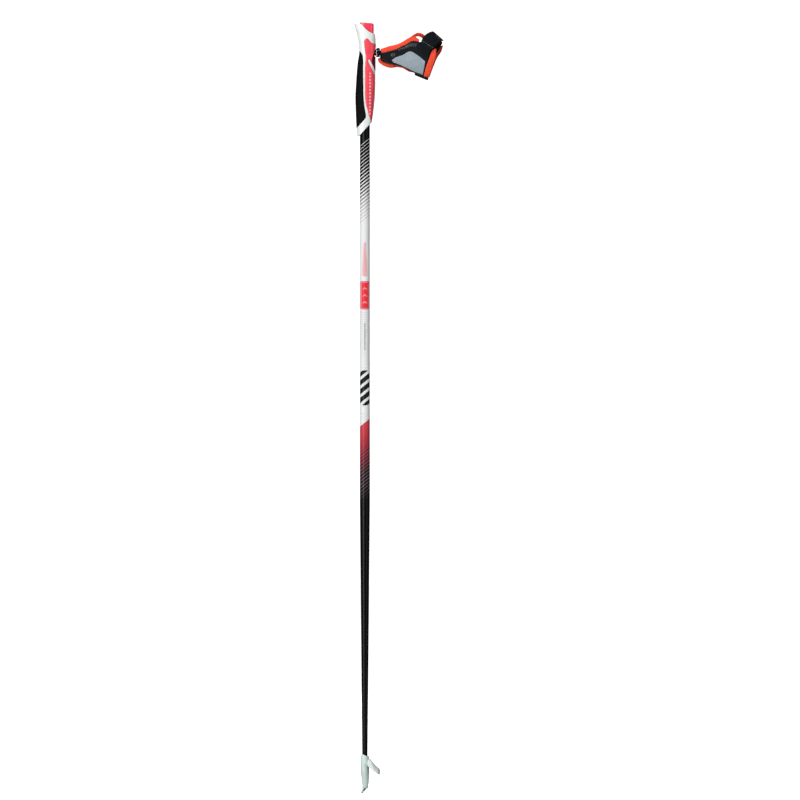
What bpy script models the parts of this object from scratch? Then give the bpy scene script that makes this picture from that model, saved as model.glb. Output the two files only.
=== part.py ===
"""A one-piece walking and cross-country ski pole with a click-in strap.

Lengths below are in millimetres and become metres as each mesh is made.  Heights are
counted from the point of the spike and X from the shaft's axis: -X is the front of the
pole, +X the rear, where the strap is.  The finished part's origin is on the shaft's axis
at the middle of the palm, HAND_HEIGHT above the point.
"""

import math

import bmesh
import bpy
import numpy as np
from mathutils import Matrix, Vector

MM = 0.001
GAP = 0.3  # between two pieces that touch
HAND_HEIGHT = 1130.0

# shaft: parallel at the top, tapered below, glued into the ferrule and the grip
SHAFT_RADIUS = 8.0
SHAFT_WALL = 1.2
SHAFT_TOP = 1160.0
TAPER_TOP = 461.0
TAPER_SLOPE = 3.6 / 400.0
SHAFT_BOTTOM = 20.0

# grip sections: height, front, rear, half-width
GRIP_SECTIONS = (
    (1048.0, -11.7, 10.2, 10.0),
    (1064.0, -13.1, 10.6, 10.9),
    (1088.0, -14.2, 13.5, 12.0),
    (1113.0, -14.9, 16.1, 13.0),
    (1136.0, -13.8, 17.0, 12.8),
    (1155.0, -12.5, 17.0, 12.0),
    (1170.0, -11.0, 17.0, 11.2),
    (1186.0, -8.7, 17.0, 10.6),
    (1198.0, -9.5, 17.6, 10.7),
    (1207.0, -11.1, 17.2, 11.0),
    (1214.0, -12.7, 16.5, 11.1),
    (1222.0, -14.8, 15.9, 11.0),
    (1230.6, -17.4, 15.2, 10.4),
)
GRIP_CENTRE = 2.5  # where a section is widest
GRIP_SQUARENESS = 2.3
GRIP_RINGS = 25
SKIN = 1.5  # depth of the soft pads in the grip

# strap socket and its latch
SOCKET_HEIGHT = 1185.0
SOCKET_RADIUS = 5.5
SOCKET_END_X = -0.6
PLUG_RADIUS = 5.0
NECK_RADIUS = 3.0
PLATE_X = (4.0, 6.0)
PLATE_HALF = 7.0
PLATE_BOTTOM = 1176.5
BUTTON_TRAVEL = 4.0

# release button in its well
BUTTON_X = (-8.0, 14.4)
BUTTON_HALF = 8.2
BUTTON_BOTTOM = 1213.0
BUTTON_TOP = 1232.6
WELL_FLOOR = 1203.0
LEG_X = (-5.2, -2.4)
LEG_HALF = 3.0
LEG_BOTTOM = 1188.0
SPRING_X = 10.2
SPRING_RADIUS = 2.9
SPRING_WIRE = 0.4
SPRING_TURNS = 4.5

# retaining screw, set in from the front left of the neck
SCREW_START = Vector((-8.8, -1.9, 1193.6))
SCREW_AXIS = Vector((0.857, 0.515, 0.0)).normalized()
SCREW_RADIUS = 1.5
SCREW_NOSE = 1.0
SCREW_LENGTH = 5.6
SCREW_SLOT_END = 6.2

# strap plug outside the grip, and the bar that the webbing turns on
BAR_X = 21.5
BAR_RADIUS = 1.3
LUG_RADIUS = 2.8
LUG_HEIGHTS = ((1177.8, 1179.4), (1188.8, 1191.2))
FLANGE_X = (17.7, 18.6)
FLANGE_RADIUS = 6.6
WEBBING_HEIGHTS = (1179.7, 1188.5)
WEBBING_THICKNESS = 1.0

# ferrule sections, as the grip's
FERRULE_SECTIONS = (
    (7.4, -3.6, 3.9, 3.6),
    (9.4, -3.8, 5.1, 4.4),
    (22.7, -5.4, 6.6, 5.7),
    (39.7, -7.2, 7.0, 6.8),
    (52.5, -7.2, 5.9, 6.3),
    (64.0, -5.2, 5.2, 5.2),
)
CLAW_STEM_X = -0.4
CLAW_STEM_RADIUS = 1.5
CLAW_STEM_TOP = 15.0

# wrist opening of the strap: its middle, and how far its rear end points down
WRIST = Vector((100.7, 0.0, 1178.7))
WRIST_TILT = math.radians(-20.9)
WRIST_HALF_WIDTH = 26.6
WRIST_HALF_HEIGHT = 38.0
NECK_X, FULL_X = 24.0, 84.0  # where the two panels start to part, and where they stop
NECK_HALF_GAP = 3.4
PANEL = 2.0
BINDING = 3.0
SEAM = 0.5  # between a panel's edge and its binding
FACE = PANEL / 2 + 2 * GAP  # from a panel's middle to what is sewn on its face
PATCH = 0.7
LOOP_PILE = 0.8
HOOK_PILE = 0.6
BAND = 1.8
TAB = 1.6
BAND_HALF_WIDTH = 11.8
TAB_HALF_WIDTH = 11.6
LEG_END_X = 36.0  # where the webbing ends between the panels

# how wide the shapes that cut right through the grip or the tip are made, on each side
THROUGH_GRIP = 16.0
THROUGH_TIP = 12.0
ABOVE_GRIP = 1245.0
SMOOTH_LIMIT = math.radians(35)

TIP_EMPTY = "tip_point"


# ---------------------------------------------------------------- small helpers


def clear_scene():
    for obj in list(bpy.data.objects):
        bpy.data.objects.remove(obj, do_unlink=True)


def plastic(name, colour, roughness=0.45, metallic=0.0):
    material = bpy.data.materials.new(name)
    material.use_nodes = True
    shader = material.node_tree.nodes["Principled BSDF"]
    shader.inputs["Base Color"].default_value = (*colour, 1.0)
    shader.inputs["Roughness"].default_value = roughness
    shader.inputs["Metallic"].default_value = metallic
    return material


def pivot(name, x, z, parent=None):
    """An empty on a joint's axis, in the middle plane."""
    empty = bpy.data.objects.new(name, None)
    bpy.context.scene.collection.objects.link(empty)
    empty.parent = parent
    empty.location = (x * MM, 0.0, z * MM)
    return empty


def offset_from_tip(empty):
    total = Vector()
    while empty is not None and empty.name != TIP_EMPTY:
        total += empty.location
        empty = empty.parent
    return total


def piece(name, bm, material, parent):
    """Turns a bmesh in millimetres from the tip into an object that hangs on its pivot."""
    bmesh.ops.remove_doubles(bm, verts=bm.verts, dist=1e-4)
    bmesh.ops.dissolve_degenerate(bm, edges=bm.edges, dist=1e-4)
    bmesh.ops.recalc_face_normals(bm, faces=bm.faces)
    bmesh.ops.scale(bm, vec=(MM, MM, MM), verts=bm.verts)
    mesh = bpy.data.meshes.new(name)
    bm.to_mesh(mesh)
    bm.free()
    mesh.shade_smooth()
    mesh.set_sharp_from_angle(angle=SMOOTH_LIMIT)
    obj = bpy.data.objects.new(name, mesh)
    bpy.context.scene.collection.objects.link(obj)
    obj.data.materials.append(material)
    obj.parent = parent
    obj.matrix_parent_inverse = Matrix.Translation(-offset_from_tip(parent))
    return obj


def cutter(name, bm):
    obj = piece(name, bm, bpy.data.materials["helper"], bpy.data.objects[TIP_EMPTY])
    obj.hide_render = True
    obj.display_type = "WIRE"
    return obj


def carve(obj, tool, operation="DIFFERENCE"):
    modifier = obj.modifiers.new(tool.name, "BOOLEAN")
    modifier.solver = "EXACT"
    modifier.operation = operation
    modifier.object = tool


def smooth_values(table, at):
    """Each column of a table against its first one, by a cubic that doesn't overshoot."""
    table = np.asarray(table, float)
    key, rows = table[:, 0], table[:, 1:]
    step = np.diff(key)[:, None]
    slope = np.diff(rows, axis=0) / step
    tangent = np.zeros_like(rows)
    before, after = slope[:-1], slope[1:]
    same = before * after > 0
    tangent[1:-1][same] = (2 * before * after)[same] / (before + after)[same]
    tangent[0], tangent[-1] = slope[0], slope[-1]
    at = np.clip(np.atleast_1d(at), key[0], key[-1])
    i = np.clip(np.searchsorted(key, at) - 1, 0, len(key) - 2)
    width = step[i]
    t = (at - key[i])[:, None] / width
    return (
        rows[i] * (1 + 2 * t) * (1 - t) ** 2
        + tangent[i] * width * t * (1 - t) ** 2
        + rows[i + 1] * t * t * (3 - 2 * t)
        + tangent[i + 1] * width * t * t * (t - 1)
    )


def smooth_path(points, count, closed=False):
    """Evenly numbered points on a smooth curve through the given ones."""
    points = np.asarray(points, float)
    if closed:
        points = np.concatenate([points[-2:], points, points[:3]])
    length = np.r_[0.0, np.cumsum(np.linalg.norm(np.diff(points[:, :2], axis=0), axis=1))]
    if closed:
        start, end = length[2], length[-3]
        at = np.linspace(start, end, count + 1)[:-1]
    else:
        at = np.linspace(0.0, length[-1], count)
    return smooth_values(np.column_stack([length, points]), at)


def loft(rings, closed=False):
    """Skins a stack of rings; the ends are filled unless the stack closes on itself."""
    bm = bmesh.new()
    rows = [[bm.verts.new(p) for p in ring] for ring in rings]
    pairs = list(zip(rows, rows[1:] + rows[:1])) if closed else list(zip(rows, rows[1:]))
    for low, high in pairs:
        for i in range(len(low)):
            j = (i + 1) % len(low)
            bm.faces.new((low[i], low[j], high[j], high[i]))
    if not closed:
        bm.faces.new(rows[0])
        bm.faces.new(rows[-1])
    return bm


def turned(profile, axis, origin, steps=40):
    """Spins a closed or axis-to-axis profile of (along, radius) points about an axis."""
    axis, origin = Vector(axis).normalized(), Vector(origin)
    side = axis.orthogonal().normalized()
    bm = bmesh.new()
    verts = [bm.verts.new(origin + axis * along + side * radius) for along, radius in profile]
    edges = [bm.edges.new(pair) for pair in zip(verts, verts[1:])]
    if profile[0][1] > 0:
        edges.append(bm.edges.new((verts[-1], verts[0])))
    bmesh.ops.spin(
        bm, geom=verts + edges, cent=origin, axis=axis, angle=math.tau, steps=steps, use_merge=True
    )
    return bm


def rod(start, end, radius, steps=32):
    start, end = Vector(start), Vector(end)
    long = (end - start).length
    return turned([(0, 0), (0, radius), (long, radius), (long, 0)], end - start, start, steps)


def box(low, high):
    bm = bmesh.new()
    size = Vector(high) - Vector(low)
    centre = (Vector(high) + Vector(low)) / 2
    bmesh.ops.create_cube(bm, size=1.0, matrix=Matrix.Translation(centre) @ Matrix.Diagonal((*size, 1)))
    return bm


def prism(outline, low, high, plane="XZ"):
    """Extrudes an outline: one in XZ along Y, or one in XY along Z."""
    if plane == "XZ":
        rings = [[(a, y, b) for a, b in outline] for y in (low, high)]
    else:
        rings = [[(a, b, z) for a, b in outline] for z in (low, high)]
    return loft(rings)


def superellipse(front, rear, half, centre, squareness, count):
    ring = []
    for k in range(count):
        turn = math.tau * k / count
        cos, sin = math.cos(turn), math.sin(turn)
        long = (centre - front) if cos > 0 else (rear - centre)
        x = centre - math.copysign(abs(cos) ** (2 / squareness), cos) * long
        y = math.copysign(abs(sin) ** (2 / squareness), sin) * half
        ring.append((x, y))
    return ring


# ---------------------------------------------------------------- shaft and tip


def shaft_radius(height):
    return SHAFT_RADIUS - TAPER_SLOPE * max(0.0, TAPER_TOP - height)


def build_shaft(parent):
    heights = (SHAFT_BOTTOM, 240.0, TAPER_TOP, SHAFT_TOP)
    outer = [(z, shaft_radius(z)) for z in heights]
    inner = [(z, radius - SHAFT_WALL) for z, radius in reversed(outer)]
    bm = turned(outer + inner, (0, 0, 1), (0, 0, 0), steps=40)
    piece("shaft_tube", bm, plastic("shaft_lacquer", (0.55, 0.56, 0.57), 0.25), parent)


def ferrule_loft(grow=0.0):
    rings = []
    for z in np.r_[7.4, 9.4, np.linspace(15, 64, 9)]:
        front, rear, half = smooth_values(FERRULE_SECTIONS, z)[0]
        ring = superellipse(front - grow, rear + grow, half + grow, 0.0, 2.0, 28)
        rings.append([(x, y, z) for x, y in ring])
    return loft(rings)


def build_ferrule(parent):
    ferrule = piece("tip_ferrule", ferrule_loft(), plastic("ferrule_white", (0.6, 0.7, 0.68), 0.5), parent)
    top = [(-12, 66.1), (12, 55.3), (12, 80), (-12, 80)]
    carve(ferrule, cutter("ferrule_top_cutter", prism(top, -THROUGH_TIP, THROUGH_TIP)))
    bore_low, bore_high = SHAFT_BOTTOM - GAP, 70.0
    bore = [(bore_low, 0), (bore_low, shaft_radius(bore_low) + GAP)]
    bore += [(bore_high, shaft_radius(bore_high) + GAP), (bore_high, 0)]
    carve(ferrule, cutter("ferrule_bore_cutter", turned(bore, (0, 0, 1), (0, 0, 0), 32)))
    stem = rod((CLAW_STEM_X, 0, 0), (CLAW_STEM_X, 0, CLAW_STEM_TOP + GAP), CLAW_STEM_RADIUS + GAP, 20)
    carve(ferrule, cutter("claw_socket_cutter", stem))


def build_claw(parent):
    """A hard-metal spike that leans forward, on a stem pressed up into the ferrule."""
    stations = (
        (0.0, -4.8, 1.2, 1.0),
        (1.2, -4.6, 1.4, 1.1),
        (3.6, -2.4, 1.7, 1.4),
        (6.9, -0.6, 2.8, 1.8),
        (7.0, CLAW_STEM_X, CLAW_STEM_RADIUS, CLAW_STEM_RADIUS),
        (CLAW_STEM_TOP, CLAW_STEM_X, CLAW_STEM_RADIUS, CLAW_STEM_RADIUS),
    )
    rings = []
    for z, x, along, across in stations:
        rings.append([(x + px, py, z) for px, py in superellipse(-along, along, across, 0, 2.6, 16)])
    piece("claw_tip", loft(rings), plastic("claw_steel", (0.16, 0.2, 0.19), 0.35, 0.9), parent)


def build_basket(parent):
    """A half basket: a curved wing behind the ferrule, held by two arms that hug its sides."""
    crest_points = [(3.6, 58.0), (9.4, 54.4), (12.5, 49.8), (17.3, 44.8), (23.0, 39.9), (25.0, 35.6)]
    skirt_points = [(5.0, 44.0), (8.5, 41.0), (12.5, 37.8), (16.8, 34.6), (21.0, 31.9), (23.7, 30.4)]
    half_widths = [(0, 7.6), (0.2, 11.5), (0.5, 16.0), (0.8, 15.0), (1.0, 9.5)]
    columns, rows, thickness, arm_thickness = 12, 11, 2.0, 1.3
    crest, skirt, width = (smooth_path(p, columns) for p in (crest_points, skirt_points, half_widths))
    rings = []
    for top, low, (_, half) in zip(crest, skirt, width):
        over, under = [], []
        for t in np.linspace(-1, 1, rows):
            drop = t * t * (1 - thickness / max(np.linalg.norm(top - low), 3.0))
            x, z = top + (low - top) * drop
            over.append((x, half * t, z))
            inward = (low - top) / np.linalg.norm(low - top) * thickness
            under.append((x + inward[0], (half - 0.5) * t, z + inward[1]))
        rings.append(over + under[::-1])
    wing = piece("basket_wing", loft(rings), plastic("basket_white", (0.72, 0.76, 0.75), 0.5), parent)
    arm_side = [(-3.2, 49.6), (9, 40.2), (9, 60), (-3.2, 57.2)]
    arm = cutter("basket_arm_shape", prism(arm_side, -THROUGH_TIP, THROUGH_TIP))
    carve(arm, cutter("basket_arm_limit", ferrule_loft(GAP + arm_thickness)), "INTERSECT")
    carve(wing, arm, "UNION")
    carve(wing, cutter("ferrule_clearance", ferrule_loft(GAP)))
    shaft_room = rod((0, 0, 50), (0, 0, 75), shaft_radius(64) + 2 * GAP)
    carve(wing, cutter("shaft_clearance", shaft_room))


# ---------------------------------------------------------------- grip


def grip_loft(inset=0.0, count=30):
    rings = []
    for z in np.linspace(GRIP_SECTIONS[0][0], GRIP_SECTIONS[-1][0], GRIP_RINGS):
        front, rear, half = smooth_values(GRIP_SECTIONS, z)[0]
        ring = superellipse(front + inset, rear - inset, half - inset, GRIP_CENTRE, GRIP_SQUARENESS, count)
        rings.append([(x, y, z) for x, y in ring])
    return loft(rings)


def pad_outline(grow=0.0):
    """Front pad, from its tip at the neck to its slanted lower end, in side view."""
    edge = [(-8.1, 1187.5), (-3.7, 1180.0), (-3.0, 1172.0), (-2.9, 1148.0)]
    edge += [(-2.0, 1109.0), (-0.6, 1096.0), (1.2, 1084.5), (1.2, 1079.0)]
    edge += [(-14.5, 1062.4), (-22.0, 1062.4), (-22.0, 1187.5)]
    return grown(edge, grow)


def inlay_outline(grow=0.0):
    """Rear inlay: round the back above, a leaf on each side below."""
    edge = [(4.2, 1206.7), (8.6, 1200.3), (11.8, 1198.6), (26.0, 1198.2), (26.0, 1139.0)]
    edge += [(16.5, 1151.5), (15.7, 1146.0), (15.6, 1136.0), (14.3, 1109.0), (12.7, 1088.6), (10.6, 1074.0)]
    edge += [(7.8, 1080.5), (4.6, 1092.0), (1.2, 1109.0), (0.4, 1147.5)]
    edge += [(1.7, 1176.0), (0.4, 1185.6), (-1.0, 1199.5)]
    return grown(edge, grow)


def stripe_outline(grow=0.0):
    """The raised white stripe that slants down across the inlay to the rear."""
    edge = [(5.6, 1173.0), (8.2, 1172.2), (26.0, 1137.5), (22.0, 1136.0), (4.7, 1169.9)]
    return grown(edge, grow)


def grown(outline, by):
    """The outline with each side moved out by a distance."""
    points = np.asarray(outline, float)
    ahead = np.roll(points, -1, axis=0) - points
    ahead /= np.linalg.norm(ahead, axis=1)[:, None]
    turning = np.sum(points[:, 0] * np.roll(points[:, 1], -1) - np.roll(points[:, 0], -1) * points[:, 1])
    normal = np.column_stack([ahead[:, 1], -ahead[:, 0]]) * np.sign(turning)
    bisector = normal + np.roll(normal, 1, axis=0)
    bisector /= np.maximum(np.sum(bisector * bisector, axis=1), 1.0)[:, None] / 2
    return [tuple(p) for p in points + bisector * by]


def socket_cutter(name, radius):
    return cutter(name, rod((SOCKET_END_X, 0, SOCKET_HEIGHT), (30, 0, SOCKET_HEIGHT), radius, 36))


def build_grip(parent):
    whole = cutter("grip_envelope", grip_loft())
    bed = cutter("pad_bed", grip_loft(SKIN))
    deep_bed = cutter("recess_bed", grip_loft(SKIN + GAP))
    stripe = cutter("stripe_cutter", prism(stripe_outline(), -THROUGH_GRIP, THROUGH_GRIP))
    socket = socket_cutter("socket_mouth_cutter", SOCKET_RADIUS + 1.2)

    white, black, red = (0.75, 0.79, 0.77), (0.012, 0.014, 0.016), (0.8, 0.05, 0.09)
    pad_blank = prism(pad_outline(), -THROUGH_GRIP, THROUGH_GRIP)
    pad = piece("grip_front_pad", pad_blank, plastic("pad_black", black, 0.6), parent)
    carve(pad, whole, "INTERSECT")
    carve(pad, bed)
    inlay_blank = prism(inlay_outline(), -THROUGH_GRIP, THROUGH_GRIP)
    inlay = piece("grip_rear_inlay", inlay_blank, plastic("inlay_red", red, 0.55), parent)
    carve(inlay, whole, "INTERSECT")
    carve(inlay, bed)
    carve(inlay, stripe)
    carve(inlay, socket)

    core = piece("grip_core", grip_loft(), plastic("grip_white", white, 0.45), parent)
    pad_recess = cutter("pad_recess", prism(pad_outline(GAP), -THROUGH_GRIP, THROUGH_GRIP))
    inlay_recess = cutter("inlay_recess", prism(inlay_outline(GAP), -THROUGH_GRIP, THROUGH_GRIP))
    carve(pad_recess, deep_bed)
    carve(inlay_recess, deep_bed)
    keeper = prism(stripe_outline(-GAP), -THROUGH_GRIP, THROUGH_GRIP)
    carve(inlay_recess, cutter("stripe_keeper", keeper))
    for tool in (pad_recess, inlay_recess, *grip_cutters()):
        carve(core, tool)


def grip_cutters():
    """Everything that is hollowed out of the grip's core."""
    rim = [(-6.8, 1231.0), (-5.2, 1230.2), (-1.4, 1225.4), (3.6, 1220.2), (8.6, 1217.0), (14.3, 1215.0)]
    rim += [(22.0, 1213.0), (22.0, ABOVE_GRIP), (-6.8, ABOVE_GRIP)]
    collar = [(-30, 1030), (30, 1030), (30, 1093.7), (-8.2, 1052.3), (-30, 1051.2)]
    bore = rod((0, 0, 1020), (0, 0, SHAFT_TOP + GAP), SHAFT_RADIUS + GAP, 48)
    well = prism(button_outline(GAP + 0.05), WELL_FLOOR, ABOVE_GRIP, "XY")
    slot_x = (PLATE_X[0] - GAP, PLATE_X[1] + GAP)
    slot_half = PLATE_HALF + GAP
    slot = box(
        (slot_x[0], -slot_half, PLATE_BOTTOM - BUTTON_TRAVEL - GAP), (slot_x[1], slot_half, WELL_FLOOR + 1)
    )
    leg_low = LEG_BOTTOM - BUTTON_TRAVEL - GAP
    channel_half = LEG_HALF + GAP
    channel = box((LEG_X[0] - GAP, -channel_half, leg_low), (LEG_X[1] + GAP, channel_half, WELL_FLOOR + 1))
    screw = rod(SCREW_START - SCREW_AXIS * 4, SCREW_START + SCREW_AXIS * 4.5, SCREW_RADIUS + GAP, 20)
    return [
        cutter("rim_cutter", prism(rim, -THROUGH_GRIP, THROUGH_GRIP)),
        cutter("collar_cutter", prism(collar, -THROUGH_GRIP, THROUGH_GRIP)),
        cutter("shaft_bore_cutter", bore),
        cutter("well_cutter", well),
        socket_cutter("socket_cutter", SOCKET_RADIUS),
        cutter("latch_slot_cutter", slot),
        cutter("leg_channel_cutter", channel),
        cutter("screw_hole_cutter", screw),
    ]


# ---------------------------------------------------------------- release button and latch


def button_outline(grow=0.0, count=32):
    """Plan of the button: round at the rear, squarer at the front."""
    middle = 3.0
    front, rear = BUTTON_X[0] - grow, BUTTON_X[1] + grow
    return superellipse(front, rear, BUTTON_HALF + grow, middle, 3.0, count)


def build_button(parent):
    rings = []
    for z, inset in ((BUTTON_BOTTOM, 0), (1228.2, 0), (1231.0, 0.7), (BUTTON_TOP, 2.2)):
        rings.append([(x, y, z - 0.03 * x * (inset > 0)) for x, y in button_outline(-inset)])
    button = piece("release_button", loft(rings), plastic("button_red", (0.85, 0.05, 0.1), 0.35), parent)
    leg = box((LEG_X[0], -LEG_HALF, LEG_BOTTOM), (LEG_X[1], LEG_HALF, BUTTON_BOTTOM + 2))
    carve(button, cutter("button_leg", leg), "UNION")
    carve(button, cutter("leg_slot_cutter", screw_slot()))
    slot_half = PLATE_HALF + GAP
    pocket = box(
        (PLATE_X[0] - GAP, -slot_half, BUTTON_BOTTOM - 1), (PLATE_X[1] + GAP, slot_half, BUTTON_BOTTOM + 4)
    )
    carve(button, cutter("plate_pocket_cutter", pocket))


def screw_slot():
    """The slot that lets the leg slide past the screw's nose, by the button's travel."""
    radius = SCREW_NOSE + GAP
    across = SCREW_AXIS.cross(Vector((0, 0, 1)))
    outline = []
    for k in range(16):
        turn = math.tau * k / 16
        rise = BUTTON_TRAVEL if math.sin(turn) >= 0 else 0.0
        outline.append(across * (math.cos(turn) * radius) + Vector((0, 0, math.sin(turn) * radius + rise)))
    ends = (SCREW_START + SCREW_AXIS * 2, SCREW_START + SCREW_AXIS * SCREW_SLOT_END)
    return loft([[end + p for p in outline] for end in ends])


def build_latch(parent):
    """A steel plate with a keyhole: its narrow end holds the plug's neck."""
    x0, x1 = PLATE_X
    plate = piece(
        "latch_plate",
        box((x0, -PLATE_HALF, PLATE_BOTTOM), (x1, PLATE_HALF, BUTTON_BOTTOM + 4 - GAP)),
        plastic("latch_steel", (0.5, 0.5, 0.5), 0.3, 1.0),
        parent,
    )
    narrow = NECK_RADIUS + GAP
    high = SOCKET_HEIGHT + BUTTON_TRAVEL
    slot = box((x0 - 1, -narrow, SOCKET_HEIGHT), (x1 + 1, narrow, high))
    low_end = rod((x0 - 1, 0, SOCKET_HEIGHT), (x1 + 1, 0, SOCKET_HEIGHT), narrow, 24)
    wide_end = rod((x0 - 1, 0, high), (x1 + 1, 0, high), PLUG_RADIUS + GAP)
    for name, bm in (("keyhole_slot", slot), ("keyhole_low", low_end), ("keyhole_wide", wide_end)):
        carve(plate, cutter(name, bm))


def build_spring(parent):
    low = WELL_FLOOR + GAP + SPRING_WIRE
    high = BUTTON_BOTTOM - GAP - SPRING_WIRE
    steps_in_turn, sides = 14, 5
    count = int(SPRING_TURNS * steps_in_turn)
    rings = []
    for k in range(count + 1):
        turn = math.tau * SPRING_TURNS * k / count
        out = Vector((math.cos(turn), math.sin(turn), 0))
        centre = Vector((SPRING_X, 0, low + (high - low) * k / count)) + out * SPRING_RADIUS
        ring = []
        for side in range(sides):
            a = math.tau * side / sides
            rise = Vector((0, 0, SPRING_WIRE * math.sin(a)))
            ring.append(centre + out * (SPRING_WIRE * math.cos(a)) + rise)
        rings.append(ring)
    piece("button_spring", loft(rings), plastic("spring_steel", (0.4, 0.4, 0.42), 0.3, 1.0), parent)


def build_screw(parent):
    head, nose = 0.8, 2.8
    profile = [(head, 0), (head, SCREW_RADIUS), (nose, SCREW_RADIUS), (nose, SCREW_NOSE)]
    profile += [(SCREW_LENGTH, SCREW_NOSE), (SCREW_LENGTH, 0)]
    bm = turned(profile, SCREW_AXIS, SCREW_START, 18)
    screw = piece("retaining_screw", bm, plastic("screw_steel", (0.1, 0.1, 0.11), 0.35, 0.9), parent)
    drive = rod(SCREW_START, SCREW_START + SCREW_AXIS * (head + 1.0), 0.8, 6)
    carve(screw, cutter("screw_drive_cutter", drive))


# ---------------------------------------------------------------- strap plug


def build_plug(parent):
    profile = [(0.0, 0), (0.0, 3.6), (1.2, PLUG_RADIUS), (3.4, PLUG_RADIUS), (3.4, NECK_RADIUS)]
    profile += [(6.6, NECK_RADIUS), (6.6, PLUG_RADIUS), (FLANGE_X[0], PLUG_RADIUS)]
    profile += [(FLANGE_X[0], FLANGE_RADIUS), (FLANGE_X[1], FLANGE_RADIUS), (FLANGE_X[1], 0)]
    bm = turned(profile, (1, 0, 0), (0, 0, SOCKET_HEIGHT), 32)
    plug = piece("strap_plug", bm, plastic("plug_black", (0.02, 0.02, 0.022), 0.4), parent)
    for k, (low, high) in enumerate(LUG_HEIGHTS):
        outline = [(FLANGE_X[0] + 0.2, LUG_RADIUS + 0.4), (FLANGE_X[0] + 0.2, -LUG_RADIUS - 0.4)]
        for step in range(9):
            turn = math.pi * (step / 8 - 0.5)
            outline.append((BAR_X + LUG_RADIUS * math.cos(turn), LUG_RADIUS * math.sin(turn)))
        carve(plug, cutter(f"plug_lug_{k}", prism(outline, low, high, "XY")), "UNION")
    hole = rod((BAR_X, 0, 1170), (BAR_X, 0, 1200), BAR_RADIUS + GAP, 20)
    carve(plug, cutter("bar_hole_cutter", hole))


def build_bar(parent):
    low, high, head = LUG_HEIGHTS[0][0] - 0.2, LUG_HEIGHTS[1][1] + GAP, 2.2
    profile = [(low, 0), (low, BAR_RADIUS), (high, BAR_RADIUS), (high, head)]
    profile += [(high + 0.5, head), (high + 1.2, head - 1.0), (high + 1.3, 0)]
    bm = turned(profile, (0, 0, 1), (BAR_X, 0, 0), 20)
    piece("plug_bar", bm, plastic("bar_steel", (0.05, 0.05, 0.055), 0.35, 0.8), parent)


def build_webbing(parent):
    """A flat tape that turns round the bar; its two legs run back between the panels."""
    inner = BAR_RADIUS + GAP
    outer = inner + WEBBING_THICKNESS
    leg_in = GAP / 2
    leg_out = leg_in + WEBBING_THICKNESS
    leg_start = BAR_X + 5.5
    outline, inside = [], []
    for step in range(13):
        turn = math.pi * (0.3 + 1.4 * step / 12)
        outline.append((BAR_X + outer * math.cos(turn), outer * math.sin(turn)))
        inside.append((BAR_X + inner * math.cos(turn), inner * math.sin(turn)))
    for line, y in ((outline, leg_out), (inside, leg_in)):
        line[:0] = [(LEG_END_X, y), (leg_start, y)]
        line += [(leg_start, -y), (LEG_END_X, -y)]
    bm = prism(outline + inside[::-1], *WEBBING_HEIGHTS, "XY")
    piece("webbing_loop", bm, plastic("webbing_black", (0.015, 0.015, 0.017), 0.8), parent)


# ---------------------------------------------------------------- strap fabric


def half_gap(x, z):
    """How far each panel stands from the middle plane: flat at the neck, an oval at the wrist."""
    u = min(max((x - NECK_X) / (FULL_X - NECK_X), 0.0), 1.0)
    height = (x - WRIST.x) * -math.sin(WRIST_TILT) + (z - WRIST.z) * math.cos(WRIST_TILT)
    oval = WRIST_HALF_WIDTH * math.sqrt(max(1 - (height / WRIST_HALF_HEIGHT) ** 2, 0.04))
    return NECK_HALF_GAP + u * u * (3 - 2 * u) * (oval - NECK_HALF_GAP)


def fabric_point(x, z, side, out):
    """A point on a panel's surface (side -1 is the back of the hand), moved out along its normal."""
    step = 0.5
    slope_x = (half_gap(x + step, z) - half_gap(x - step, z)) / (2 * step)
    slope_z = (half_gap(x, z + step) - half_gap(x, z - step)) / (2 * step)
    normal = Vector((-slope_x, 1.0, -slope_z)).normalized()
    point = Vector((x, half_gap(x, z), z)) + normal * out
    point.y *= side
    return point


def fabric(name, lower, upper, side, out, thickness, colour, parent, columns=16, rows=5):
    """A slab of cloth between two edges, each a smooth curve through its points in side view."""
    low, high = smooth_path(lower, columns), smooth_path(upper, columns)
    rings = []
    for a, b in zip(low, high):
        face = []
        for t in np.linspace(0, 1, rows):
            face.append(a + (b - a) * t)
        outside = [fabric_point(x, z, side, out + thickness / 2) for x, z in face]
        inside = [fabric_point(x, z, side, out - thickness / 2) for x, z in face]
        rings.append(outside + inside[::-1])
    return piece(name, loft(rings), plastic(name + "_cloth", colour, 0.85), parent)


def shifted(edge, by):
    """An edge moved up, or down, by a distance, to leave a gap beside it."""
    return [(x, z + by) for x, z in edge]


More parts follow.
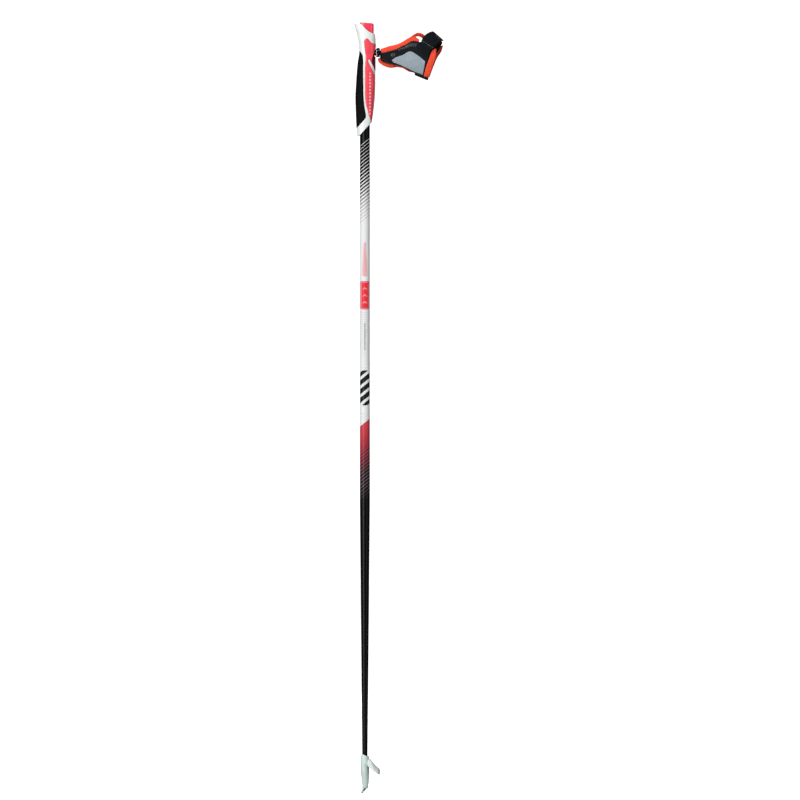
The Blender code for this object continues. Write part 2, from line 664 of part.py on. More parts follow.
def build_panels(parent):
    black, grey, orange = (0.018, 0.021, 0.024), (0.33, 0.38, 0.42), (0.75, 0.06, 0.02)
    back_top = [(27.1, 1184.3), (39.9, 1187.0), (51.1, 1190.1), (59.1, 1193.9), (67.9, 1197.8)]
    back_top += [(75.1, 1202.0), (86.5, 1200.9), (95.0, 1195.5), (106.0, 1187.5)]
    back_low = [(28.0, 1176.0), (40.1, 1168.0), (51.1, 1165.3), (61.5, 1162.6), (72.2, 1156.2)]
    back_low += [(78.3, 1154.0), (93.2, 1148.6)]
    fabric("back_panel", back_low, back_top, -1, 0, PANEL, black, parent, 20, 7)

    palm_top = [(25.5, 1184.3), *back_top[1:6], (87.0, 1203.0), (97.0, 1203.6)]
    palm_top += [(107.0, 1201.0), (115.5, 1196.3)]
    palm_low = [(24.0, 1176.2), (27.5, 1171.3), (33.9, 1168.3), (40.3, 1166.6), (52.9, 1167.6), (60.0, 1166.3)]
    palm_low += [(70.0, 1161.0), (80.0, 1156.0), (95.0, 1150.5)]
    fabric("palm_panel", palm_low, palm_top, 1, 0, PANEL, black, parent, 20, 7)

    patch_low = [(44.5, 1171.6), (46.5, 1169.3), (50.8, 1167.6), (63.6, 1162.6), (71.3, 1158.5)]
    patch_low += [(78.3, 1155.4), (86.5, 1152.2), (93.0, 1150.0)]
    patch_top = [(44.4, 1173.4), (48.6, 1176.0), (61.5, 1180.3), (71.9, 1185.4)]
    patch_top += [(86.5, 1177.8), (96.6, 1169.6)]
    fabric("back_patch", patch_low, patch_top, -1, FACE + PATCH / 2, PATCH, grey, parent, 16, 5)

    loop_top = [(88.5, 1196.6), (95.3, 1192.7), (104.6, 1186.2)]
    loop_low = [(88.5, 1186.8), (95.4, 1181.4), (101.4, 1176.2)]
    fabric("loop_patch", loop_low, loop_top, -1, FACE + LOOP_PILE / 2, LOOP_PILE, black, parent, 8, 4)

    trim_top = [(25.0, 1190.6), (39.9, 1195.2), (50.8, 1197.4), (61.5, 1202.1), (69.7, 1207.2)]
    back_trim = [*trim_top, (77.0, 1210.2), (86.9, 1204.6)]
    back_seam = shifted(back_top[:7], SEAM)
    fabric("thumb_binding_back", back_seam, back_trim, -1, 0, BINDING, orange, parent, 16, 3)
    arch_top = [*trim_top, (76.2, 1213.6), (84.6, 1217.6), (92.6, 1215.6), (96.5, 1210.5)]
    arch_low = [(25.5, 1184.3), *back_top[1:5], (75.3, 1204.5), (79.5, 1210.5)]
    arch_low += [(85.0, 1212.2), (91.5, 1209.2)]
    fabric("thumb_binding_palm", shifted(arch_low, SEAM), arch_top, 1, 0, BINDING, orange, parent, 18, 3)
    finger_top = shifted(palm_low[:8], -SEAM)
    finger_low = [(20.2, 1175.6), (22.3, 1169.6), (27.3, 1165.3), (33.7, 1162.2), (40.3, 1160.5)]
    finger_low += [(52.9, 1161.8), (60.0, 1160.6), (70.0, 1155.4), (80.0, 1153.6)]
    fabric("finger_binding_palm", finger_low, finger_top, 1, 0, BINDING, orange, parent, 18, 3)
    back_edge_low = [(27.5, 1174.3), (40.1, 1166.4), (51.1, 1163.7), (61.5, 1161.2), (72.2, 1154.6)]
    back_edge_low += [(78.3, 1152.3), (92.9, 1146.9)]
    finger_back_top = shifted(back_low, -SEAM)
    fabric("finger_binding_back", back_edge_low, finger_back_top, -1, 0, PANEL, black, parent, 20, 3)

    hem_low = [(93.9, 1146.6), (96.9, 1158.3), (100.4, 1168.2), (104.6, 1179.6)]
    hem_low += [(107.0, 1185.6), (112.0, 1190.0)]
    hem_high = [(102.6, 1144.6), (106.2, 1154.0), (110.2, 1166.6), (113.9, 1178.6)]
    hem_high += [(114.2, 1184.0), (113.8, 1189.4)]
    fabric("wrist_hem_back", hem_low, hem_high, -1, 0, BINDING, orange, parent, 12, 3)
    far_low = [(96.2, 1149.6), (99.4, 1157.2), (105.6, 1171.2), (111.2, 1184.0), (116.8, 1195.8)]
    far_high = [(103.8, 1146.6), (109.6, 1162.6), (117.0, 1179.6), (122.6, 1187.9), (125.4, 1197.6)]
    fabric("wrist_hem_palm", far_low, far_high, 1, 0, BINDING, orange, parent, 12, 3)


def tape(name, stations, half_width, thickness, colour, parent, closed=False, count=32):
    """A flat tape swept along stations of (x, y, z, tilt of its width in degrees)."""
    stations = np.asarray(stations, float)
    path = smooth_path(stations[:, [1, 2, 0, 3]], count, closed)
    centres = [Vector((x, y, z)) for y, z, x, _ in path]
    rings = []
    for k, centre in enumerate(centres):
        ahead = centres[(k + 1) % count] if closed or k + 1 < count else centre
        behind = centres[k - 1] if closed or k > 0 else centre
        tilt = math.radians(path[k][3])
        across = Vector((math.cos(tilt), 0, math.sin(tilt)))
        normal = across.cross(ahead - behind).normalized()
        across, normal = across * half_width, normal * thickness / 2
        ring = []
        for u in (-1, 1):
            ring.append(centre + across * u + normal)
        for u in (1, -1):
            ring.append(centre + across * u - normal)
        rings.append(ring)
    return piece(name, loft(rings, closed), plastic(name + "_cloth", colour, 0.85), parent)


BAND_STATIONS = (
    (90.3, 0.0, 1145.3, -22),
    (91.0, -13.6, 1152.2, -22),
    (92.6, -20.4, 1169.0, -24),
    (97.0, -19.8, 1188.0, -30),
    (105.5, -12.0, 1202.4, -37),
    (115.0, 0.0, 1208.6, -41),
    (113.0, 12.0, 1204.5, -38),
    (106.0, 18.4, 1192.0, -33),
    (97.0, 20.4, 1173.0, -25),
    (91.5, 13.6, 1152.2, -22),
)
TAB_STATIONS = (
    (117.3, 2.0, 1211.6, -41),
    (111.8, -8.6, 1209.6, -39),
    (105.8, -20.4, 1205.0, -36),
    (100.9, -28.2, 1198.0, -33),
    (98.1, -31.0, 1190.8, -31),
)


BAND_BLACK = (0.016, 0.018, 0.02)


def build_band(parent):
    tape("wrist_band", BAND_STATIONS, BAND_HALF_WIDTH, BAND, BAND_BLACK, parent, closed=True, count=40)


def build_tab(parent):
    """The closing tab, and the hook patch that is sewn under its end."""
    tape("closure_tab", TAB_STATIONS, TAB_HALF_WIDTH, TAB, BAND_BLACK, parent, count=14)
    out = FACE + LOOP_PILE + GAP + HOOK_PILE / 2
    hook_top = [(92.5, 1198.3), (97.8, 1194.8), (105.0, 1189.3)]
    hook_low = [(90.0, 1192.5), (95.3, 1188.9), (102.6, 1183.6)]
    fabric("hook_patch", hook_low, hook_top, -1, out, HOOK_PILE, BAND_BLACK, parent, 8, 4)


# ---------------------------------------------------------------- the whole pole


def build():
    clear_scene()
    plastic("helper", (0.5, 0.5, 0.5))
    tip = pivot(TIP_EMPTY, 0.0, -HAND_HEIGHT)
    button_axis = pivot("button_slide_axis", 3.0, BUTTON_BOTTOM, tip)
    swivel = pivot("strap_swivel_axis", FLANGE_X[0], SOCKET_HEIGHT, tip)
    yaw = pivot("strap_yaw_axis", BAR_X - FLANGE_X[0], 0.0, swivel)
    peel = pivot("tab_peel_axis", 117.0 - BAR_X, 1211.6 - SOCKET_HEIGHT, yaw)
    fixed = (build_shaft, build_ferrule, build_claw, build_basket, build_grip, build_spring, build_screw)
    for build_piece in fixed:
        build_piece(tip)
    build_button(button_axis)
    build_latch(button_axis)
    build_plug(swivel)
    build_bar(swivel)
    build_webbing(yaw)
    build_panels(yaw)
    build_band(yaw)
    build_tab(peel)


build()
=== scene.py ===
"""Looks of a one-piece walking and cross-country ski pole with a click-in half-glove strap.

Shapes are worked out in millimetres, with heights counted from the point of the spike and X
from the shaft's axis: -X is the front of the pole, +X the rear, -Y the side the camera is on.
`build` moves them into the row frame, in metres.
"""

import math

import bmesh
import bpy
import numpy as np
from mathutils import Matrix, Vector
from mathutils.kdtree import KDTree


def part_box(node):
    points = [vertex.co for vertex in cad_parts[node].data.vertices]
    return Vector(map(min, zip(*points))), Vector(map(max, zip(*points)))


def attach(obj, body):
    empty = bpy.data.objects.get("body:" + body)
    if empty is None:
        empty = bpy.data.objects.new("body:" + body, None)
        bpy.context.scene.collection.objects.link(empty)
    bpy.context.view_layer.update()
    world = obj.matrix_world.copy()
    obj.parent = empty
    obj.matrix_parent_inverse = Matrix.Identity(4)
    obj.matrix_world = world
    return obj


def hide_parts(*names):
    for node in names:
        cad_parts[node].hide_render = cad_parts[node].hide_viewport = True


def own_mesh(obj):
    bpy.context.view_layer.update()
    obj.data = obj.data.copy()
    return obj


MM = 0.001

MATERIALS = {}

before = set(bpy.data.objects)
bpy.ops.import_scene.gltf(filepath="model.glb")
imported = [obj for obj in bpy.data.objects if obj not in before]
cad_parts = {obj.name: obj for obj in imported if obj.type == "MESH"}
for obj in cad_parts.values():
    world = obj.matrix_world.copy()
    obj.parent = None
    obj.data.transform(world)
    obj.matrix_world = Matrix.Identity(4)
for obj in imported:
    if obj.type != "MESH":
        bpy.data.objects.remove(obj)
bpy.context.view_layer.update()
TIP_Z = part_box("claw_tip")[0].z  # where heights are counted from, in the row frame

GAP = 0.3
SHAFT_WALL = 1.2
SHAFT_TOP, TAPER_TOP, SHAFT_BOTTOM = 1160.0, 461.0, 20.0
SHAFT_RADIUS, TAPER_SLOPE = 8.0, 3.6 / 400.0

# height, front, rear, half-width of the grip and of the ferrule
GRIP_SECTIONS = (
    (1048.0, -11.7, 10.2, 10.0),
    (1064.0, -13.1, 10.6, 10.9),
    (1088.0, -14.2, 13.5, 12.0),
    (1113.0, -14.9, 16.1, 13.0),
    (1136.0, -13.8, 17.0, 12.8),
    (1155.0, -12.5, 17.0, 12.0),
    (1170.0, -11.0, 17.0, 11.2),
    (1186.0, -8.7, 17.0, 10.6),
    (1198.0, -9.5, 17.6, 10.7),
    (1207.0, -11.1, 17.2, 11.0),
    (1214.0, -12.7, 16.5, 11.1),
    (1222.0, -14.8, 15.9, 11.0),
    (1230.6, -17.4, 15.2, 10.4),
)
FERRULE_SECTIONS = (
    (7.4, -3.6, 3.9, 3.6),
    (9.4, -3.8, 5.1, 4.4),
    (22.7, -5.4, 6.6, 5.7),
    (39.7, -7.2, 7.0, 6.8),
    (52.5, -7.2, 5.9, 6.3),
    (64.0, -5.2, 5.2, 5.2),
)
GRIP_CENTRE = 2.5
GRIP_POWER = 2 / 2.3
GRIP_ROWS, GRIP_COLUMNS = 290, 66
TURN_SCALE = 14.5  # millimetres of grip surface for a radian of turn
RECESS_DEPTH = 1.8
INLAY_DEPTH = 1.5

STEM_X, STEM_RADIUS, STEM_TOP = -0.4, 1.5, 15.0  # the spike's round stem, in the ferrule
FERRULE_BOTTOM = FERRULE_SECTIONS[0][0]

SOCKET_HEIGHT, SOCKET_END = 1185.0, 30.0
SOCKET_RADIUS, MOUTH_RADIUS = 5.5, 6.7
LATCH_FRONT, LATCH_REAR, LATCH_HALF_WIDTH = 3.7, 6.3, 7.3  # room for the latch plate
SCREW_START = Vector((-8.8, -1.9, 1193.6))
SCREW_AXIS = Vector((0.857, 0.515, 0.0)).normalized()
WELL_FLOOR = 1203.0
WELL_PLAY = 0.35
BORE_RADIUS = SHAFT_RADIUS + GAP
BUTTON_PLAN = (-8.0, 14.4, 8.2, 3.0, 2 / 3.0)  # front, rear, half-width, centre, power
BUTTON_BOTTOM = 1213.0
BUTTON_TRAVEL = 4.0
SPRING_X = 10.2
SPRING_RADIUS = 2.9
SPRING_WIRE = 0.4
SPRING_TURNS = 4.5
BAR_X, BAR_RADIUS = 21.5, 1.3
LUG_RADIUS = 2.8
LUG_HEIGHTS = ((1177.8, 1179.4), (1188.8, 1191.2))
RIB_PITCH, RIB_SLANT = 1.5, 0.35  # ribs of the elastic bindings

# the wrist opening, and where the strap's two panels part
WRIST = (100.7, 1178.7)
WRIST_TILT = math.radians(-20.9)
WRIST_HALF_WIDTH, WRIST_HALF_HEIGHT = 26.6, 38.0
NECK_X, FULL_X, NECK_HALF_GAP = 24.0, 84.0, 3.4


# ---------------------------------------------------------------- curves and meshes


def cubic(values, tangent, i, t, width):
    """A cubic from the i-th value to the next, at a share `t` of the width between them."""
    return (
        values[i] * (1 + 2 * t) * (1 - t) ** 2
        + tangent[i] * width * t * (1 - t) ** 2
        + values[i + 1] * t * t * (3 - 2 * t)
        + tangent[i + 1] * width * t * t * (t - 1)
    )


def smooth_values(table, at):
    """Each column of a table against its first one, by a cubic that doesn't overshoot."""
    table = np.asarray(table, float)
    key, rows = table[:, 0], table[:, 1:]
    step = np.diff(key)[:, None]
    slope = np.diff(rows, axis=0) / step
    tangent = np.zeros_like(rows)
    before, after = slope[:-1], slope[1:]
    same = before * after > 0
    tangent[1:-1][same] = (2 * before * after)[same] / (before + after)[same]
    tangent[0], tangent[-1] = slope[0], slope[-1]
    at = np.clip(np.atleast_1d(at), key[0], key[-1])
    i = np.clip(np.searchsorted(key, at) - 1, 0, len(key) - 2)
    width = step[i]
    return cubic(rows, tangent, i, (at - key[i])[:, None] / width, width)


def section(table, heights):
    """Front, rear and half-width at any heights, each in the shape of `heights`."""
    heights = np.asarray(heights, float)
    found = smooth_values(table, heights.ravel())
    return [found[:, k].reshape(heights.shape) for k in range(found.shape[1])]


def travelled(path):
    """How far along a path each of its points is."""
    return np.r_[0.0, np.cumsum(np.linalg.norm(np.diff(path, axis=0), axis=1))]


def full_turn(steps):
    """Angles evenly spaced round a circle."""
    return np.linspace(0, math.tau, steps, endpoint=False)


def xyz(x, y, z):
    """Points from their coordinates, each a number or an array."""
    return np.stack(np.broadcast_arrays(x, y, z), -1)


def curve(points, count, closed=False):
    """A smooth curve through the points, by a cubic whose tangents follow the neighbours."""
    points = np.asarray(points, float)
    if closed:
        points = np.concatenate([points[-2:], points, points[:3]])
    length = travelled(points)
    tangent = np.gradient(points, length, axis=0)
    low, high = (length[2], length[-3]) if closed else (0.0, length[-1])
    at = np.linspace(low, high, count + 1)[:-1] if closed else np.linspace(low, high, count)
    i = np.clip(np.searchsorted(length, at, side="right") - 1, 0, len(length) - 2)
    width = (length[i + 1] - length[i])[:, None]
    return cubic(points, tangent, i, (at - length[i])[:, None] / width, width)


def smoothstep(value):
    value = np.clip(value, 0.0, 1.0)
    return value * value * (3 - 2 * value)


def grid_faces(rows, columns, wrap_rows=False, wrap_columns=False, flip=False, first=0):
    faces = []
    for i in range(rows if wrap_rows else rows - 1):
        for j in range(columns if wrap_columns else columns - 1):
            below, above = i * columns, (i + 1) % rows * columns
            right = (j + 1) % columns
            face = (below + j, below + right, above + right, above + j)
            faces.append(tuple(first + k for k in (face[::-1] if flip else face)))
    return faces


def add_object(name, data):
    obj = bpy.data.objects.new(name, data)
    bpy.context.scene.collection.objects.link(obj)
    return obj


def build(name, points, faces, material, body, slot, replaces=(), sharp=40, marks=None):
    """A closed mesh that rides on a body. `marks` are named values for each point."""
    mesh = bpy.data.meshes.new(name)
    points = np.asarray(points, float) * MM + (0, 0, TIP_Z)
    mesh.from_pydata(points.tolist(), [], faces)
    for mark, values in (marks or {}).items():
        values = np.asarray(values, np.float32)
        kind = "FLOAT" if values.ndim == 1 else "FLOAT_VECTOR"
        attribute = mesh.attributes.new(mark, kind, "POINT")
        attribute.data.foreach_set("value" if values.ndim == 1 else "vector", values.ravel())
    bm = bmesh.new()
    bm.from_mesh(mesh)
    bmesh.ops.remove_doubles(bm, verts=bm.verts, dist=2e-6)
    bmesh.ops.dissolve_degenerate(bm, edges=bm.edges, dist=1e-6)
    bmesh.ops.delete(bm, geom=[v for v in bm.verts if not v.link_faces], context="VERTS")
    bmesh.ops.recalc_face_normals(bm, faces=bm.faces)
    bm.to_mesh(mesh)
    bm.free()
    obj = add_object(name, mesh)
    finish_shading(obj, sharp)
    mesh.materials.append(MATERIALS[material])
    if body:
        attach(obj, body)
    if replaces:
        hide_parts(*replaces)
    return obj


def finish_shading(obj, sharp):
    obj.data.shade_smooth()
    obj.data.set_sharp_from_angle(angle=math.radians(sharp))


def skin(rings, closed_long=False):
    """Points and faces round a stack of rings, with the two ends filled."""
    rings = np.asarray(rings, float)
    rows, columns = rings.shape[:2]
    faces = grid_faces(rows, columns, closed_long, True)
    if not closed_long:
        faces.append(tuple(range(columns))[::-1])
        faces.append(tuple((rows - 1) * columns + k for k in range(columns)))
    return rings.reshape(-1, 3), faces


def spun(profile, origin, axis, steps=96, loop=False):
    """A profile of (along, radius) points turned about an axis."""
    axis = Vector(axis).normalized()
    side = axis.orthogonal().normalized()
    other = axis.cross(side)
    turn = full_turn(steps)
    spokes = np.outer(np.cos(turn), side) + np.outer(np.sin(turn), other)
    rings = [np.array(origin) + np.array(axis) * along + spokes * radius for along, radius in profile]
    return skin(rings, loop)


def prism(outline, ends, plane="XZ"):
    """An outline in XZ drawn out along Y, or one in XY drawn out along Z."""
    rings = []
    for end in ends:
        if plane == "XZ":
            rings.append([(a, end, b) for a, b in outline])
        else:
            rings.append([(a, b, end) for a, b in outline])
    return skin(rings)


def cuboid(low, high):
    (x0, y0, z0), (x1, y1, z1) = low, high
    return prism([(x0, z0), (x1, z0), (x1, z1), (x0, z1)], (y0, y1))


def rod(start, end, radius, steps=48):
    start, end = Vector(start), Vector(end)
    return spun([(0, radius), ((end - start).length, radius)], start, end - start, steps)


def helper(name, shape):
    return build(name, *shape, "helper", None, None)


def apply_modifiers(obj):
    bpy.context.view_layer.update()
    mesh = bpy.data.meshes.new_from_object(obj.evaluated_get(bpy.context.evaluated_depsgraph_get()))
    obj.modifiers.clear()
    obj.data = mesh


def combine(obj, tools, operation="DIFFERENCE", sharp=40):
    """Cuts helper shapes out of an object, or joins them to it, and removes them."""
    for tool in tools:
        modifier = obj.modifiers.new(tool.name, "BOOLEAN")
        modifier.solver = "EXACT"
        modifier.operation = operation
        modifier.object = tool
        apply_modifiers(obj)
    for tool in tools:
        bpy.data.objects.remove(tool, do_unlink=True)
    finish_shading(obj, sharp)


def merge(obj, tools):
    """Adds helper shells to an object's mesh, to be fused by a remesh, and removes them."""
    bm = bmesh.new()
    for part in (obj, *tools):
        bm.from_mesh(part.data)
    bm.to_mesh(obj.data)
    bm.free()
    for tool in tools:
        bpy.data.objects.remove(tool, do_unlink=True)


def round_edges(obj, width, segments=2, sharp=40):
    modifier = obj.modifiers.new("edges", "BEVEL")
    modifier.width = width * MM
    modifier.segments = segments
    modifier.limit_method = "ANGLE"
    modifier.angle_limit = math.radians(35)
    modifier.harden_normals = False
    apply_modifiers(obj)
    finish_shading(obj, sharp)


# ---------------------------------------------------------------- materials


class Shader:
    """A Principled material, with short calls for the nodes that feed it."""

    def __init__(self, name, roughness=0.5, metallic=0.0, **fixed):
        self.material = bpy.data.materials.new(name)
        self.material.use_nodes = True
        self.tree = self.material.node_tree
        self.surface = self.tree.nodes["Principled BSDF"]
        self.surface.inputs["Roughness"].default_value = roughness
        self.surface.inputs["Metallic"].default_value = metallic
        for key, value in fixed.items():
            socket = key.replace("_", " ").title().replace("Ior", "IOR")
            self.surface.inputs[socket].default_value = value

    def set(self, socket, value):
        if isinstance(value, bpy.types.NodeSocket):
            self.tree.links.new(value, socket)
        elif hasattr(value, "__len__") and len(value) == 3 and socket.type == "RGBA":
            socket.default_value = (*value, 1.0)
        else:
            socket.default_value = value

    def node(self, kind, *values, **settings):
        made = self.tree.nodes.new(kind)
        for key, value in settings.items():
            setattr(made, key, value)
        for socket, value in zip(made.inputs, values):
            self.set(socket, value)
        return made

    def math(self, operation, *values):
        return self.node("ShaderNodeMath", *values, operation=operation).outputs[0]

    def add(self, a, b):
        return self.math("ADD", a, b)

    def minus(self, a, b):
        return self.math("SUBTRACT", a, b)

    def times(self, a, b):
        return self.math("MULTIPLY", a, b)

    def absolute(self, value):
        return self.math("ABSOLUTE", value)

    def wave(self, value, pitch):
        """A sine that comes round once in each pitch."""
        return self.math("SINE", self.times(value, math.tau / pitch))

    def phase(self, value, pitch):
        """How far through its pitch a value is, from 0 to 1."""
        return self.math("FRACT", self.times(value, 1 / pitch))

    def dashes(self, value, pitch, share):
        """One over the first share of each pitch, zero over the rest."""
        return self.math("LESS_THAN", self.phase(value, pitch), share)

    def step(self, value, low, high, to_low=0.0, to_high=1.0):
        """A value's place between low and high, smoothed and clamped."""
        values = value, low, high, to_low, to_high
        return self.node("ShaderNodeMapRange", *values, interpolation_type="SMOOTHSTEP").outputs[0]

    def between(self, value, low, high, soft=0.3):
        """One between two limits, falling to zero outside them."""
        rise = self.step(value, low - soft, low + soft)
        return self.times(rise, self.step(value, high - soft, high + soft, 1.0, 0.0))

    def mix(self, share, a, b):
        made = self.tree.nodes.new("ShaderNodeMix")
        made.data_type = "RGBA"
        for socket, value in zip((made.inputs[k] for k in (0, 6, 7)), (share, a, b)):
            self.set(socket, value)
        return made.outputs[2]

    def where(self):
        return self.node("ShaderNodeTexCoord").outputs["Object"]

    def place(self):
        """X and the height above the spike's point, in millimetres."""
        x, _, z = self.node("ShaderNodeSeparateXYZ", self.where()).outputs
        height = self.times(self.minus(z, TIP_Z), 1 / MM)
        return self.times(x, 1 / MM), height

    def cloth_place(self):
        """How far along and across its cloth a point is, in millimetres."""
        along, across, _ = self.node("ShaderNodeSeparateXYZ", self.mark("cloth").outputs["Vector"]).outputs
        return along, across

    def noise(self, scale, detail=3.0, stretch=(1.0, 1.0, 1.0), distortion=0.0):
        """Noise with features of 1/scale metres, drawn out by `stretch`."""
        mapped = self.node("ShaderNodeMapping", self.where())
        mapped.inputs["Scale"].default_value = stretch
        made = self.node("ShaderNodeTexNoise", mapped.outputs[0])
        made.inputs["Scale"].default_value = scale
        made.inputs["Detail"].default_value = detail
        made.inputs["Distortion"].default_value = distortion
        return made.outputs[0]

    def cells(self, scale, feature):
        """Distance to the middle of the nearest of many cells of about 1/scale metres."""
        made = self.node("ShaderNodeTexVoronoi", self.where(), feature=feature)
        made.inputs["Scale"].default_value = scale
        return made.outputs["Distance"]

    def mark(self, name):
        return self.node("ShaderNodeAttribute", attribute_name=name)

    def base(self):
        return self.surface.inputs["Base Color"].links[0].from_socket

    def colour(self, value):
        self.set(self.surface.inputs["Base Color"], value)

    def tone(self, value, low, high, first, last):
        """A base colour that goes from the first to the last as a value rises from low to high."""
        self.colour(self.mix(self.step(value, low, high), first, last))

    def rough(self, texture, low, high):
        """Roughness that goes from low to high with a texture."""
        self.set(self.surface.inputs["Roughness"], self.step(texture, 0.3, 0.7, low, high))

    def bump(self, height, distance):
        """Relief of `distance` millimetres; each call lies on top of the last."""
        made = self.node("ShaderNodeBump")
        made.inputs["Strength"].default_value = 1.0
        made.inputs["Distance"].default_value = distance * MM
        self.set(made.inputs["Height"], height)
        links = self.surface.inputs["Normal"].links
        if links:
            self.set(made.inputs["Normal"], links[0].from_socket)
        self.set(self.surface.inputs["Normal"], made.outputs[0])


def dimmed(colour, by):
    return tuple(c * by for c in colour)


def moulded(name, colour, roughness, grain=0.02, **fixed):
    """Moulded plastic: cloudy colour, fine spark-eroded grain, scuffs that dull it."""
    shader = Shader(name, roughness, **fixed)
    scuff = shader.noise(900.0, 4.0, (1.0, 1.0, 0.25))
    shader.tone(shader.noise(60.0, 2.0), 0.35, 0.65, dimmed(colour, 0.9), colour)
    shader.rough(scuff, roughness - 0.06, roughness + 0.07)
    shader.bump(shader.noise(3500.0, 2.0), grain)
    return shader


def basket_plastic(near):
    """Off-white plastic that takes on the ferrule's tint where its arms lie on it."""
    shader = moulded("basket_plastic", (0.74, 0.78, 0.77), 0.45)
    white = shader.base()
    x, _ = shader.place()
    shader.tone(x, 4.0, 9.0, near, white)
    return shader


def rubber(name, colour, grain, roughness, **fixed):
    """Soft grip rubber with a fine pebbled skin."""
    shader = Shader(name, roughness, **fixed)
    shader.tone(shader.noise(110.0), 0.3, 0.7, dimmed(colour, 0.86), colour)
    shader.rough(shader.noise(700.0), roughness - 0.05, roughness + 0.08)
    shader.bump(shader.cells(1500.0, "SMOOTH_F1"), grain)
    return shader


def inlay_rubber():
    """Raspberry rubber with a row of pale dashes, and painted shade down in the thumb scoops."""
    # deep: the painted shade colour that fills the thumb scoops
    bright, deep, pale = (0.86, 0.05, 0.078), (0.1, 0.0, 0.002), (0.86, 0.62, 0.66)
    shader = rubber("inlay_rubber", bright, 0.03, 0.42)
    scoop = shader.mark("scoop").outputs["Fac"]
    under = shader.base()
    x, height = shader.place()
    row = shader.times(shader.dashes(height, 5.4, 0.5), shader.between(x, 7.0, 9.3, 0.25))
    row = shader.times(row, shader.between(height, 1083.0, 1152.0))
    under = shader.mix(shader.times(row, 0.75), under, pale)
    # painted shade: the red goes to deep wine as the thumb scoops deepen
    shader.tone(scoop, 0.0, 0.75, under, deep)
    return shader


def steel(name, colour, roughness, along):
    """Metal with fine drawn lines along one axis."""
    shader = Shader(name, roughness, 1.0)
    lines = shader.noise(2500.0, 3.0, along)
    shader.tone(lines, 0.3, 0.7, dimmed(colour, 0.7), colour)
    shader.rough(lines, roughness - 0.08, roughness + 0.1)
    shader.bump(lines, 0.01)
    return shader


def weave(shader, pitch_along, pitch_across, twill):
    """Height and shade of crossing threads, from the cloth's own millimetres."""
    along, across = shader.cloth_place()
    warp = shader.wave(shader.add(along, shader.times(across, twill)), pitch_along)
    weft = shader.wave(across, pitch_across)
    return shader.times(shader.add(shader.times(warp, weft), 1.0), 0.5)


def cloth(name, colour, shade, pitch, twill, relief, sheen=0.3):
    """Woven or knitted cloth; the threads give both its relief and its colour."""
    roughness = 0.85
    fixed = {"sheen_roughness": 0.45, "sheen_tint": (*colour, 1.0), "specular_ior_level": 0.15}
    shader = Shader(name, roughness, sheen_weight=sheen, **fixed)
    thread = weave(shader, *pitch, twill)
    fuzz = shader.noise(2600.0)
    dye = shader.noise(90.0, 2.0)
    body = shader.mix(thread, shade, colour)
    shader.colour(shader.mix(shader.step(dye, 0.3, 0.75, 0.0, 0.25), body, shade))
    shader.rough(fuzz, roughness - 0.1, roughness + 0.08)
    shader.bump(thread, relief)
    shader.bump(fuzz, 0.04)
    return shader


def ribbed(name, colour, shade):
    """Elastic binding: close ribs across it, each a bundle of fine threads."""
    shader = Shader(name, 0.8, sheen_weight=0.25, sheen_roughness=0.5, sheen_tint=(*colour, 1.0))
    along, across = shader.cloth_place()
    slant = shader.add(along, shader.times(across, RIB_SLANT))
    rib = shader.absolute(shader.wave(slant, 2 * RIB_PITCH))
    body = shader.mix(shader.step(rib, 0.1, 0.7), shade, colour)
    pale = tuple(min(1.0, c * 1.25 + 0.02) for c in colour)
    shader.colour(shader.mix(shader.step(shader.noise(200.0), 0.35, 0.8, 0.0, 0.5), body, pale))
    shader.bump(rib, 0.12)
    shader.bump(shader.wave(across, 0.45), 0.05)
    return shader


def suede(name, colour):
    """Smooth synthetic suede with a short brushed nap."""
    shader = Shader(name, 0.75, sheen_weight=0.35, sheen_roughness=0.4, sheen_tint=(*colour, 1.0))
    nap = shader.noise(420.0, 4.0, (1.0, 1.0, 0.4), 0.6)
    shader.tone(nap, 0.3, 0.72, dimmed(colour, 0.8), colour)
    shader.rough(nap, 0.62, 0.85)
    shader.bump(nap, 0.05)
    shader.bump(shader.noise(4200.0, 2.0), 0.03)
    return shader


def hook_and_loop(name, colour):
    """Short dense pile."""
    shader = Shader(name, 0.95, sheen_weight=0.05, sheen_roughness=0.6, specular_ior_level=0.1)
    pile = shader.cells(1300.0, "F1")
    shader.tone(pile, 0.1, 0.7, colour, dimmed(colour, 0.35))
    shader.bump(pile, 0.3)
    return shader


